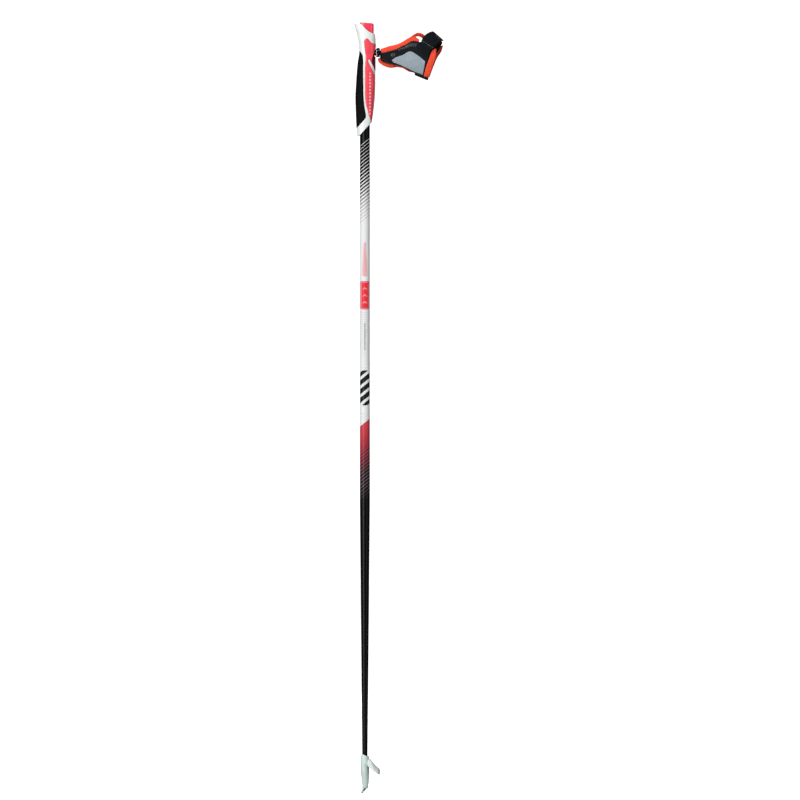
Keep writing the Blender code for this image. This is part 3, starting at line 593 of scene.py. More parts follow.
def lacquered_shaft():
    """Gloss lacquer: black, black-to-white fade stripes, silver with plain marks, red into black."""
    shader = Shader("shaft_lacquer", 0.3, specular_ior_level=0.1)
    x, height = shader.place()
    slant = shader.minus(height, shader.times(x, 0.81))
    black, silver = (0.0015, 0.0018, 0.002), (0.72, 0.725, 0.73)
    black_above, stripes_end, red_top, lines_end = 1042.9, 917.0, 593.0, 466.0

    # fine wavy contour lines in the silver
    waves = shader.times(shader.noise(26.0, 1.0, (1.0, 1.0, 0.6)), 46.0)
    line = shader.absolute(shader.minus(shader.math("FRACT", waves), 0.5))
    body = shader.mix(shader.step(line, 0.0, 0.12, 0.5, 0.0), silver, (0.33, 0.34, 0.35))
    body = plain_marks(shader, x, height, slant, body)

    # stripes under the collar: their black share and darkness fade on the way down
    phase = shader.phase(slant, 5.6)
    share = shader.step(slant, 905.0, 1030.0, 0.16, 0.86)
    fade = shader.step(slant, 912.0, 975.0, 0.35, 1.0)
    stripe = shader.times(shader.step(shader.minus(share, phase), -0.03, 0.03), fade)
    zone = shader.math("GREATER_THAN", slant, stripes_end)
    body = shader.mix(shader.times(stripe, zone), body, black)
    body = shader.mix(shader.step(slant, black_above - 0.3, black_above + 0.3), body, black)

    # red below the slanted join, down through wine to black, with pale slanted lines
    ramp = shader.node("ShaderNodeValToRGB", shader.step(slant, 462.0, red_top))
    wine, crimson, red = (0.018, 0.004, 0.008), (0.2, 0.012, 0.026), (0.52, 0.045, 0.058)
    elements = ramp.color_ramp.elements
    for at, tone in ((0.35, wine), (0.7, crimson)):
        elements.new(at).color = (*tone, 1.0)
    elements[0].color, elements[-1].color = (*black, 1.0), (*red, 1.0)
    pale = shader.math("LESS_THAN", phase, shader.step(slant, 475.0, 565.0, 0.3, 0.12))
    above_end = shader.step(slant, lines_end, 500.0)
    pale_zone = shader.times(above_end, shader.step(slant, 545.0, 568.0, 1.0, 0.0))
    pale = shader.times(shader.times(pale, pale_zone), 0.2)
    lower = shader.mix(pale, ramp.outputs[0], (0.62, 0.5, 0.55))
    body = shader.mix(shader.step(slant, red_top - 0.3, red_top + 0.3, 1.0, 0.0), body, lower)

    shader.colour(body)
    shader.rough(shader.noise(500.0, 3.0, (1.0, 1.0, 0.1)), 0.24, 0.34)
    shader.bump(shader.noise(700.0, 2.0, (1.0, 1.0, 0.2)), 0.008)
    return shader


def rounded_box(shader, x, height, middle, half_width, half_height, radius):
    """Distance to a rounded rectangle on the shaft's side, below zero inside it."""
    away_x = shader.minus(shader.absolute(x), half_width - radius)
    away_z = shader.minus(shader.absolute(shader.minus(height, middle)), half_height - radius)
    x2, z2 = (shader.math("POWER", shader.math("MAXIMUM", away, 0.0), 2.0) for away in (away_x, away_z))
    outside = shader.math("SQRT", shader.add(x2, z2))
    within = shader.math("MINIMUM", shader.math("MAXIMUM", away_x, away_z), 0.0)
    return shader.minus(shader.add(outside, within), radius)


def plain_marks(shader, x, height, slant, body):
    """Plain geometric marks where such a pole carries print: dashes, a red block, a rule, bars."""
    red, pink, black = (0.72, 0.03, 0.045), (0.86, 0.42, 0.44), (0.008, 0.009, 0.01)
    rule_grey, tick_grey = (0.05, 0.055, 0.06), (0.1, 0.1, 0.11)
    side = shader.absolute(x)

    narrow = shader.step(height, 826.0, 882.0, 4.2, 2.0)
    dash = shader.times(shader.dashes(slant, 3.6, 0.45), shader.math("LESS_THAN", side, narrow))
    body = shader.mix(shader.times(dash, shader.between(height, 827.0, 881.0)), body, red)

    block = rounded_box(shader, x, height, 796.5, 7.2, 22.5, 2.5)
    body = shader.mix(shader.step(block, -0.15, 0.15, 1.0, 0.0), body, red)
    inner = shader.absolute(shader.add(block, 1.7))
    body = shader.mix(shader.step(inner, 0.2, 0.5, 0.85, 0.0), body, pink)
    chevron = shader.phase(shader.add(height, shader.times(side, 0.9)), 11.0)
    chevron = shader.step(shader.absolute(shader.minus(chevron, 0.5)), 0.05, 0.09, 0.9, 0.0)
    body = shader.mix(shader.times(chevron, shader.step(block, -4.2, -3.6, 1.0, 0.0)), body, pink)

    rule = shader.times(shader.step(side, 0.5, 0.8, 0.75, 0.0), shader.between(height, 709.0, 752.0))
    body = shader.mix(rule, body, rule_grey)
    ticks = shader.times(shader.dashes(height, 2.9, 0.3), shader.between(height, 700.0, 773.0, 8.0))
    body = shader.mix(shader.times(ticks, 0.16), body, tick_grey)

    panel = rounded_box(shader, x, height, 648.5, 7.6, 28.0, 6.0)
    bars = shader.times(shader.dashes(slant, 14.0, 0.62), shader.step(panel, -0.15, 0.15, 1.0, 0.0))
    return shader.mix(bars, body, black)


def make_materials():
    MATERIALS["helper"] = bpy.data.materials.new("helper")
    white, mint, raspberry = (0.74, 0.78, 0.765), (0.58, 0.69, 0.66), (0.9, 0.035, 0.085)
    made = {
        "shaft": lacquered_shaft(),
        "white": moulded("grip_plastic", white, 0.4, 0.015, coat_weight=0.15, coat_roughness=0.2),
        "pad": rubber("pad_rubber", (0.002, 0.0022, 0.0025), 0.05, 0.7, specular_ior_level=0.08),
        "inlay": inlay_rubber(),
        "button": moulded("button_plastic", raspberry, 0.32, 0.01, coat_weight=0.3, coat_roughness=0.15),
        "ferrule": moulded("ferrule_plastic", mint, 0.42, 0.015),
        "basket": basket_plastic(mint),
        "plug": moulded("plug_plastic", (0.006, 0.006, 0.007), 0.38, 0.03, specular_ior_level=0.3),
        "claw": steel("claw_metal", (0.28, 0.34, 0.33), 0.38, (1.0, 1.0, 0.1)),
        "dark_steel": steel("blackened_steel", (0.09, 0.09, 0.1), 0.35, (0.2, 1.0, 1.0)),
        "spring_steel": steel("latch_steel", (0.6, 0.6, 0.62), 0.28, (1.0, 0.1, 1.0)),
        "binding": ribbed("binding_elastic", (0.9, 0.07, 0.018), (0.58, 0.03, 0.008)),
        "dark_binding": ribbed("edge_elastic", (0.008, 0.009, 0.01), (0.003, 0.003, 0.003)),
        "patch": suede("patch_suede", (0.3, 0.36, 0.41)),
        "pile": hook_and_loop("hook_and_loop", (0.01, 0.011, 0.013)),
    }
    # colour, shade, thread pitch along and across, slant of the twill, relief
    woven = {
        "panel": ("panel_knit", (0.009, 0.0135, 0.019), (0.003, 0.004, 0.006), (0.9, 0.62), 0.0, 0.12),
        "band": ("band_weave", (0.008, 0.01, 0.012), (0.002, 0.003, 0.004), (0.7, 1.1), 0.55, 0.14),
        "webbing": ("webbing_weave", (0.007, 0.007, 0.008), (0.002, 0.002, 0.003), (0.9, 1.2), 0.5, 0.2),
    }
    for key, values in woven.items():
        made[key] = cloth(*values, sheen=0.06)
    threads = {
        "orange_thread": ((0.75, 0.07, 0.025), (0.4, 0.02, 0.008)),
        "black_thread": ((0.03, 0.03, 0.035), (0.01, 0.01, 0.011)),
        "grey_thread": ((0.42, 0.46, 0.5), (0.25, 0.28, 0.3)),
        "pink_thread": ((0.75, 0.35, 0.42), (0.45, 0.18, 0.22)),
    }
    for name, (colour, shade) in threads.items():
        made[name] = cloth(name, colour, shade, (0.5, 0.5), 1.0, 0.05)
    MATERIALS.update({name: shader.material for name, shader in made.items()})


# ---------------------------------------------------------------- shaft and tip


def shaft_radius(height):
    return SHAFT_RADIUS - TAPER_SLOPE * np.maximum(0.0, TAPER_TOP - height)


def make_shaft():
    heights = np.r_[SHAFT_BOTTOM, np.linspace(60, TAPER_TOP, 9), np.linspace(560, SHAFT_TOP, 7)]
    outer = [(z, shaft_radius(z)) for z in heights]
    inner = [(z, radius - SHAFT_WALL) for z, radius in reversed(outer)]
    shape = spun(outer + inner, (0, 0, 0), (0, 0, 1), 96, loop=True)
    build("shaft", *shape, "shaft", "pole", "shaft_lacquer", ["shaft_tube"])


def oval(turn, front, rear, half, centre, power):
    """A point on a rounded outline; `turn` runs from the front, by the camera's side, to the rear."""
    cos, sin = np.cos(turn), np.sin(turn)
    long = np.where(cos > 0, centre - front, rear - centre)
    x = centre - np.sign(cos) * np.abs(cos) ** power * long
    y = -np.sign(sin) * np.abs(sin) ** power * half
    return x, y


def ferrule_ring(turn, z, out=0.0):
    front, rear, half = section(FERRULE_SECTIONS, z)
    x, y = oval(turn, front - out, rear + out, half + out, 0.0, 1.0)
    return xyz(x, y, z)


def ferrule_top(x):
    """The ferrule's upper edge, which slants down to the rear."""
    return 66.1 - 0.45 * (x + 12.0)


def make_ferrule():
    turn = full_turn(80)
    circle = np.stack([-np.cos(turn), -np.sin(turn)], -1)
    stem, room = np.array([STEM_X, 0.0]), STEM_RADIUS + GAP

    def round_ring(radius, z, centre=(0.0, 0.0)):
        x, y = (circle * radius + centre).T
        return xyz(x, y, z)

    rings = [round_ring(room, STEM_TOP + GAP, stem), round_ring(room, FERRULE_BOTTOM + GAP, stem)]
    rings.append(round_ring(room + GAP, FERRULE_BOTTOM, stem))
    top = np.full(len(turn), 62.0)
    for _ in range(6):
        top = ferrule_top(ferrule_ring(turn, top)[:, 0])
    rings.append(ferrule_ring(turn, np.full(len(turn), FERRULE_BOTTOM), -0.5))
    for share in np.linspace(0.004, 1, 44):
        rings.append(ferrule_ring(turn, FERRULE_BOTTOM + share * (top - 0.35 - FERRULE_BOTTOM)))
    rings += [ferrule_ring(turn, top - 0.1, -0.1), ferrule_ring(turn, top, -0.35)]
    bore = shaft_radius(60.0) + GAP
    high = ferrule_top(-np.cos(turn) * bore)
    rings += [round_ring(bore, high), round_ring(bore - 0.3, 30.0), round_ring(bore - 0.4, 19.7)]
    shape = skin(rings)
    build("ferrule", *shape, "ferrule", "pole", "ferrule_white", ["tip_ferrule"], 50)


def make_claw():
    """A hard-metal spike that leans forward, with a small crown."""
    stations = (
        (0.0, -4.8, 0.95, 0.8),
        (0.25, -4.8, 1.2, 1.0),
        (1.2, -4.6, 1.4, 1.1),
        (2.4, -3.6, 1.45, 1.25),
        (3.6, -2.4, 1.7, 1.4),
        (5.4, -1.3, 2.3, 1.65),
        (6.7, -0.65, 2.8, 1.85),
        (7.0, -0.6, 2.75, 1.8),
    )
    turn = full_turn(40)
    rings = []
    for z in np.r_[0.0, 0.12, 0.25, np.linspace(0.5, 6.7, 20), 6.9, 7.0]:
        middle, along, across = section(stations, z)
        x, y = oval(turn, -along, along, across, 0.0, 2 / 2.6)
        rings.append(xyz(x + middle, y, z))
    for z in (7.02, STEM_TOP):
        rings.append(xyz(STEM_X - np.cos(turn) * STEM_RADIUS, -np.sin(turn) * STEM_RADIUS, z))
    shape = skin(rings)
    build("claw", *shape, "claw", "pole", "claw_steel", ["claw_tip"])


def swept(path, radius, steps=12):
    """A round bead along a path."""
    path = np.asarray(path, float)
    ahead = np.gradient(path, axis=0)
    ahead /= np.linalg.norm(ahead, axis=1)[:, None]
    side = np.cross(ahead, (0.0, 1.0, 0.0))
    side /= np.linalg.norm(side, axis=1)[:, None]
    other = np.cross(ahead, side)
    turn = full_turn(steps)
    radius = np.broadcast_to(radius, len(path))
    ring = side[:, None] * np.cos(turn)[:, None] + other[:, None] * np.sin(turn)[:, None]
    return skin(path[:, None] + ring * radius[:, None, None])


def make_basket():
    """A half basket: a curved wing behind the ferrule, and two arms that hug its sides."""
    rows = 40
    crest = [(3.6, 58.0), (9.4, 54.4), (12.5, 49.8), (17.3, 44.8), (23.0, 39.9), (25.0, 35.6)]
    skirt = [(5.0, 44.0), (8.5, 41.0), (12.5, 37.8), (16.8, 34.6), (21.0, 31.9), (23.7, 30.4)]
    crest, skirt = curve(crest, rows), curve(skirt, rows)
    widths = ((0, 7.6), (0.2, 11.5), (0.5, 16.0), (0.8, 15.0), (1.0, 9.5))
    width = section(widths, np.linspace(0, 1, rows))[0]
    thickness, across = 1.9, np.linspace(-1, 1, 41)
    rings = []
    for top, low, half in zip(crest, skirt, width):
        fall = low - top
        long = np.linalg.norm(fall)
        drop = across**2 * (1 - thickness / max(long, 3.0))
        inward = fall / long * thickness
        over = xyz(top[0] + fall[0] * drop, half * across, top[1] + fall[1] * drop)
        under = over + (inward[0], 0, inward[1])
        under[:, 1] = (half - 0.5) * across
        rings.append(np.concatenate([over, under[::-1]]))
    wing = build("basket", *skin(rings), "basket", "pole", "basket_white", ["basket_wing"])
    turn = full_turn(64)
    sleeve = skin([ferrule_ring(turn, z, 1.05) for z in np.linspace(15, 64, 24)])
    arm = [(-3.6, 50.0), (9.0, 40.8), (9.0, 61.0), (1.5, 58.6), (-1.6, 55.0)]
    arms = helper("arms", prism(arm, (-12, 12)))
    combine(arms, [helper("sleeve", sleeve)], "INTERSECT")
    tools = [arms]
    bead = np.r_[np.linspace(0.4, 0.95, 12), np.full(58, 0.95)]
    for side in (-1, 1):
        rib = [(-3.4, 49.8, 6.5), (-1.5, 48.5, 7.2), (1.0, 46.7, 7.7), (3.0, 45.3, 7.8)]
        rib += [(x, z, half - 0.5) for (x, z), half in zip(skirt[::3], width[::3])]
        points = curve(rib, len(bead))
        path = xyz(points[:, 0], side * points[:, 2], points[:, 1])
        tools.append(helper(f"rib_{side}", swept(path, bead)))
    merge(wing, tools)
    remesh = wing.modifiers.new("skin", "REMESH")
    remesh.mode = "VOXEL"
    remesh.voxel_size = 0.32 * MM
    soften = wing.modifiers.new("soften", "SMOOTH")
    soften.factor, soften.iterations = 0.5, 10
    apply_modifiers(wing)
    clear = skin([ferrule_ring(turn, z, GAP) for z in np.linspace(12, 64, 30)])
    shaft_room = rod((0, 0, 50), (0, 0, 75), float(shaft_radius(64)) + 2 * GAP)
    combine(wing, [helper("ferrule_room", clear), helper("shaft_room", shaft_room)], sharp=50)


# ---------------------------------------------------------------- grip


def grip_point(turn, z, out=0.0):
    """A point of the grip's surface on the camera's side, moved out by `out`."""
    front, rear, half = section(GRIP_SECTIONS, z)
    x, y = oval(turn, front - out, rear + out, half + out, GRIP_CENTRE, GRIP_POWER)
    return xyz(x, np.minimum(y, 0.0), z)


def flat_place(points):
    """Side-view points (x, z) laid out flat on the grip's skin, in millimetres."""
    x, z = np.asarray(points, float).T
    front, rear, _ = section(GRIP_SECTIONS, z)
    ahead = x < GRIP_CENTRE
    share = np.abs(x - GRIP_CENTRE) / np.where(ahead, GRIP_CENTRE - front, rear - GRIP_CENTRE)
    turn = np.arccos(np.clip(share, 0, 1) ** (1 / GRIP_POWER)) - 0.6 * np.maximum(share - 1, 0)
    return np.column_stack([np.where(ahead, turn, math.pi - turn) * TURN_SCALE, z])


def closed_outline(runs, step=0.2):
    """Smooth runs of side-view points joined end to end, evenly and closely spaced, laid flat."""
    points = []
    for run in runs:
        run = np.asarray(run, float)
        count = max(2, int(travelled(run)[-1] / step))
        points.append(curve(run, count) if len(run) > 2 else np.linspace(run[0], run[1], count))
    return flat_place(np.concatenate(points))


def inside(points, outline):
    """Whether each flat point is inside a closed outline, by counting crossings."""
    px, pz = points.T
    odd = np.zeros(len(points), bool)
    for (x0, z0), (x1, z1) in zip(outline, np.roll(outline, -1, axis=0)):
        if z0 != z1:
            odd ^= ((z0 > pz) != (z1 > pz)) & (px < x0 + (pz - z0) * (x1 - x0) / (z1 - z0))
    return odd


PAD_RUNS = (
    [(-8.1, 1187.3), (-6.3, 1184.6), (-3.9, 1180.4), (-3.1, 1174.5), (-2.9, 1162.0), (-2.9, 1150.0),
     (-2.6, 1130.0), (-2.0, 1109.0), (-0.9, 1098.0), (0.9, 1087.0), (1.3, 1083.0), (1.0, 1079.6)],
    [(1.0, 1079.6), (-14.5, 1062.4)],
    [(-14.5, 1062.4), (-24.0, 1062.4)],
    [(-24.0, 1062.4), (-24.0, 1187.3)],
    [(-24.0, 1187.3), (-8.1, 1187.3)],
)
INLAY_RUNS = (
    [(10.7, 1074.0), (7.8, 1080.5), (4.6, 1092.0), (2.3, 1101.0), (1.2, 1109.0), (0.5, 1128.0), (0.4, 1147.5),
     (0.5, 1162.0), (1.5, 1172.0), (1.7, 1178.0), (0.6, 1185.6), (-0.6, 1194.0), (-1.0, 1200.0),
     (-0.2, 1204.2), (1.8, 1206.3), (4.2, 1206.7), (6.4, 1205.0), (8.6, 1202.0), (11.6, 1199.6),
     (15.0, 1198.6), (19.0, 1198.2), (27.0, 1198.2)],
    [(27.0, 1198.2), (27.0, 1139.0)],
    [(27.0, 1139.0), (16.6, 1151.2)],
    [(16.6, 1151.2), (15.9, 1147.0), (15.8, 1136.0), (15.3, 1122.0), (14.3, 1109.0), (13.4, 1096.0),
     (12.5, 1086.0), (10.7, 1074.0)],
)
STRIPE_RUNS = (
    [(26.0, 1137.0), (17.4, 1154.3), (9.4, 1170.4), (8.4, 1172.2), (7.2, 1173.4), (5.9, 1173.1),
     (5.1, 1171.9), (5.3, 1170.2), (6.3, 1168.1), (14.2, 1152.0), (22.0, 1136.0)],
    [(22.0, 1136.0), (26.0, 1137.0)],
)
SCOOP_RUNS = (
    [(16.6, 1190.0), (13.0, 1180.5), (10.6, 1171.5), (10.2, 1168.2), (13.0, 1163.2), (17.6, 1154.0)],
    [(17.6, 1154.0), (20.0, 1150.0)],
    [(20.0, 1150.0), (20.0, 1190.0)],
    [(20.0, 1190.0), (16.6, 1190.0)],
)
RIM = ((-30.0, 1230.6), (-7.4, 1230.6), (-5.2, 1230.0), (-1.4, 1225.4), (3.6, 1220.2), (8.6, 1217.0),
       (14.3, 1215.0), (22.0, 1213.0))


def rim_height(x):
    return section(RIM, x)[0]


def collar_height(x):
    """The grip's lower edge: level at the front, then slanting up to the rear."""
    slanted = 1052.3 + 1.084 * (x + 8.2)
    return 0.5 * (slanted + 1051.6 + np.sqrt((slanted - 1051.6) ** 2 + 0.3))


def shifted(outline, by):
    """A closed flat outline moved outwards."""
    ahead = np.roll(outline, -1, axis=0) - np.roll(outline, 1, axis=0)
    ahead /= np.linalg.norm(ahead, axis=1)[:, None] + 1e-9
    x, z = outline.T
    turning = np.sign(np.sum(x * np.roll(z, -1) - np.roll(x, -1) * z))
    return outline + np.column_stack([ahead[:, 1], -ahead[:, 0]]) * turning * by


class GripSkin:
    """The camera-side half of the grip's skin as a grid, and the areas drawn on it."""

    def __init__(self):
        turn = np.linspace(0, math.pi, GRIP_COLUMNS + 1)
        low, high = np.full(turn.shape, 1052.0), np.full(turn.shape, 1230.0)
        for _ in range(8):  # closes in on the lower edge and the rim
            low = collar_height(grip_point(turn, low)[:, 0])
            high = rim_height(grip_point(turn, high)[:, 0])
        share = np.linspace(0, 1, GRIP_ROWS + 1)[:, None]
        self.turn = np.broadcast_to(turn, (GRIP_ROWS + 1, GRIP_COLUMNS + 1)).copy()
        self.z = (low + 0.5) + share * (high - low - 1.0)
        self.low, self.high = low, high

    def area(self, outline, hole=None):
        """Faces inside an outline, with the grid drawn to its edge, and distances to the edge."""
        turn, z = self.turn.copy(), self.z.copy()
        flat = np.stack([turn * TURN_SCALE, z], -1)
        middle = (flat[:-1, :-1] + flat[1:, :-1] + flat[:-1, 1:] + flat[1:, 1:]) / 4
        mask = inside(middle.reshape(-1, 2), outline)
        edge = outline
        if hole is not None:
            mask &= ~inside(middle.reshape(-1, 2), hole)
            edge = np.concatenate([outline[~inside(outline, hole)], hole[inside(hole, outline)]])
        mask = mask.reshape(middle.shape[:2])
        tree = KDTree(len(edge))
        for k, (a, b) in enumerate(edge):
            tree.insert((a, b, 0), k)
        tree.balance()
        within = np.zeros(turn.shape, bool)
        beyond = np.zeros(turn.shape, bool)
        for rows in (slice(0, -1), slice(1, None)):
            for columns in (slice(0, -1), slice(1, None)):
                within[rows, columns] |= mask
                beyond[rows, columns] |= ~mask
        on_edge = np.zeros(turn.shape, bool)
        for i, j in zip(*np.nonzero(within & beyond)):
            (a, b, _), _, away = tree.find((flat[i, j, 0], flat[i, j, 1], 0))
            if away < 1.2:
                if 0 < j < GRIP_COLUMNS:
                    turn[i, j] = min(max(a / TURN_SCALE, 0.004), math.pi - 0.004)
                z[i, j] = b
                on_edge[i, j] = True
        beside = {}
        upright = [((i, j + 1), (i + 1, j + 1)) for i, j in zip(*np.nonzero(mask[:, 1:] != mask[:, :-1]))]
        level = [((i + 1, j), (i + 1, j + 1)) for i, j in zip(*np.nonzero(mask[1:] != mask[:-1]))]
        for first, second in upright + level:
            beside.setdefault(first, []).append(second)
            beside.setdefault(second, []).append(first)
        for _ in range(6):
            for place, (before, *after) in beside.items():
                if len(after) == 1 and on_edge[place] and 0 < place[1] < GRIP_COLUMNS:
                    half_way = (turn[before] + turn[after[0]]) / 2 * TURN_SCALE, (z[before] + z[after[0]]) / 2
                    (a, b, _), _, _ = tree.find((*half_way, 0))
                    turn[place], z[place] = a / TURN_SCALE, b
        relax(turn, z, on_edge)
        distance = np.full(turn.shape, 9.0)
        for i, j in zip(*np.nonzero(within)):
            distance[i, j] = 0.0 if on_edge[i, j] else tree.find((turn[i, j] * TURN_SCALE, z[i, j], 0))[2]
        return turn, z, mask, on_edge, distance


def relax(turn, z, fixed, reach=2, passes=14):
    """Evens out the grid beside the points that were drawn to an edge."""
    near = fixed.copy()
    for _ in range(reach):
        spread = near.copy()
        spread[1:] |= near[:-1]
        spread[:-1] |= near[1:]
        spread[:, 1:] |= near[:, :-1]
        spread[:, :-1] |= near[:, 1:]
        near = spread
    free = (near & ~fixed)[1:-1, 1:-1]
    for _ in range(passes):
        for grid in (turn, z):
            mean = (grid[:-2, 1:-1] + grid[2:, 1:-1] + grid[1:-1, :-2] + grid[1:-1, 2:]) / 4
            grid[1:-1, 1:-1][free] += 0.6 * (mean - grid[1:-1, 1:-1])[free]


def mirrored(points, faces, marks=None):
    """Adds the far half of a shape that is given for the camera's side."""
    count = len(points)
    far = np.asarray(points) * (1, -1, 1)
    faces = list(faces) + [tuple(count + k for k in face[::-1]) for face in faces]
    marks = {name: np.concatenate([value, value]) for name, value in (marks or {}).items()}
    return np.concatenate([points, far]), faces, marks


def quads(mask):
    """Corner indices of the grid's faces that a mask picks."""
    columns = mask.shape[1] + 1
    return [(i * columns + j, i * columns + j + 1, (i + 1) * columns + j + 1, (i + 1) * columns + j)
            for i, j in zip(*np.nonzero(mask))]


def open_edges(faces):
    """Edges that only one of the faces has, in its direction, but for those on the mirror's seam."""
    seen = {}
    for face in faces:
        for a, b in zip(face, face[1:] + face[:1]):
            key = (min(a, b), max(a, b))
            seen[key] = None if key in seen else (a, b)
    return [edge for edge in seen.values() if edge and not all(map(on_seam, edge))]


def on_seam(index):
    return index % (GRIP_COLUMNS + 1) in (0, GRIP_COLUMNS)


def inset_piece(name, skin_grid, outline, hole, proud, dent, material, slot, node):
    """A soft shell let into the grip: proud of it, with rounded edges."""
    turn, z, mask, _, distance = skin_grid.area(outline, hole)
    near_edge = np.clip(distance / 0.7, 0, 1)
    rounding = 0.45 * (1 - np.sqrt(1 - (1 - near_edge) ** 2))
    scoop = dent(turn, z) if dent else np.zeros(turn.shape)
    outer = grip_point(turn, z, proud - rounding - 1.25 * scoop).reshape(-1, 3)
    inner = grip_point(turn, z, -INLAY_DEPTH).reshape(-1, 3)
    faces = quads(mask)
    count = len(outer)
    walls = [(b, a, a + count, b + count) for a, b in open_edges(faces)]
    faces += [tuple(k + count for k in face[::-1]) for face in faces] + walls
    used = np.zeros(2 * count, bool)
    used[np.concatenate([np.array(face) for face in faces])] = True
    place = np.cumsum(used) - 1
    faces = [tuple(int(place[k]) for k in face) for face in faces]
    # the scoops' depth, which the inlay's material also uses for painted shade
    marks = {"scoop": np.tile(scoop.reshape(-1), 2)[used]}
    points, faces, marks = mirrored(np.concatenate([outer, inner])[used], faces, marks)
    return build(name, points, faces, material, "pole", slot, [node], 50, marks)


def make_grip_core(grid, pad, inlay, stripe):
    """The white core: its skin with two recesses, the rim and well above, the bore below."""
    pad_turn, pad_z, pad_mask, _, _ = grid.area(shifted(pad, GAP))
    turn, z, mask, inlay_edge, _ = grid.area(shifted(inlay, GAP), shifted(stripe, -GAP))
    drawn = ((pad_turn != grid.turn) | (pad_z != grid.z)) & ~inlay_edge
    turn[drawn], z[drawn] = pad_turn[drawn], pad_z[drawn]
    mask = mask | pad_mask
    outer = grip_point(turn, z).reshape(-1, 3)
    floor = grip_point(turn, z, -RECESS_DEPTH).reshape(-1, 3)
    count = len(outer)
    sunk = quads(mask)
    walls = [(a, b, b + count, a + count) for a, b in open_edges(sunk)]
    faces = quads(~mask) + [tuple(k + count for k in face) for face in sunk] + walls

    columns = GRIP_COLUMNS + 1
    flat_turn = grid.turn[0]
    front, rear, half, *rest = BUTTON_PLAN
    well_x, well_y = oval(flat_turn, front - WELL_PLAY, rear + WELL_PLAY, half + WELL_PLAY, *rest)
    # rings inwards from the rim: a rounded lip, the sloping top, then the button's well
    lip = grip_point(flat_turn, grid.high, -0.12)
    lip[:, 2] -= 0.15
    rings = [lip]
    edge = grip_point(flat_turn, grid.high)
    well = xyz(well_x, well_y, rim_height(well_x))
    for share in (0.18, 0.5, 0.82):
        between_them = edge + (well - edge) * share
        between_them[:, 2] = rim_height(between_them[:, 0])
        rings.append(between_them)
    rings += [well + (0, 0, -0.25), xyz(well_x, well_y, WELL_FLOOR)]
    bore_x, bore_y = -np.cos(flat_turn) * BORE_RADIUS, -np.sin(flat_turn) * BORE_RADIUS
    # and from the lower edge: a rounded hem, the rest of the edge, then the shaft's bore
    hem = grip_point(flat_turn, grid.low, -0.15)
    hem[:, 2] += 0.12
    lower = [hem, grip_point(flat_turn, grid.low, -0.5)]
    lower += [xyz(bore_x, bore_y, z) for z in (collar_height(bore_x), SHAFT_TOP + GAP)]

    points = [outer, floor]
    start = 2 * count
    before = list(range(GRIP_ROWS * columns, (GRIP_ROWS + 1) * columns))
    for stack, first in ((rings, before), (lower, list(range(columns)))):
        for row in stack:
            here = list(range(start, start + columns))
            faces += [(first[j], first[j + 1], here[j + 1], here[j]) for j in range(columns - 1)]
            points.append(row)
            first = here
            start += columns
        faces.append(tuple(first))
    points, faces, _ = mirrored(np.concatenate(points), faces)
    return build("grip", points, faces, "white", "pole", "grip_white", ["grip_core"])


def plate_room(low, high):
    """Room for the latch plate between two heights."""
    return cuboid((LATCH_FRONT, -LATCH_HALF_WIDTH, low), (LATCH_REAR, LATCH_HALF_WIDTH, high))


def hollow_grip(core, inlay):
    """Socket, latch slot, leg channel and screw hole."""
    socket_end = (SOCKET_END, 0, SOCKET_HEIGHT)
    cuts = [
        helper("socket", rod((-0.6, 0, SOCKET_HEIGHT), socket_end, SOCKET_RADIUS)),
        helper("latch_slot", plate_room(1172.2, WELL_FLOOR + 1)),
        helper("leg_channel", cuboid((-5.5, -3.3, 1183.7), (-2.1, 3.3, WELL_FLOOR + 1))),
        helper("screw_hole", rod(SCREW_START - SCREW_AXIS * 4, SCREW_START + SCREW_AXIS * 4.5, 1.8)),
    ]
    combine(core, cuts)
    combine(inlay, [helper("mouth", rod((5, 0, SOCKET_HEIGHT), socket_end, MOUTH_RADIUS, 64))], sharp=50)


def make_grip():
    grid = GripSkin()
    pad, inlay, stripe = (closed_outline(runs) for runs in (PAD_RUNS, INLAY_RUNS, STRIPE_RUNS))
    scoop_outline = closed_outline(SCOOP_RUNS)

    def scoop(turn, z):
        """A dished thumb rest on each side of the ridge at the rear."""
        flat = np.column_stack([turn.ravel() * TURN_SCALE, z.ravel()])
        deep = np.zeros(len(flat))
        for k in np.nonzero(inside(flat, scoop_outline))[0]:
            deep[k] = np.min(np.hypot(*(scoop_outline - flat[k]).T))
        ridge = smoothstep((math.pi - turn) / 0.1)
        return smoothstep(deep.reshape(turn.shape) / 2.4) * ridge

    core = make_grip_core(grid, pad, inlay, stripe)
    inset_piece("grip_pad", grid, pad, None, 0.35, None, "pad", "pad_black", "grip_front_pad")
    red = inset_piece("grip_inlay", grid, inlay, stripe, 0.2, scoop, "inlay", "inlay_red", "grip_rear_inlay")
    hollow_grip(core, red)


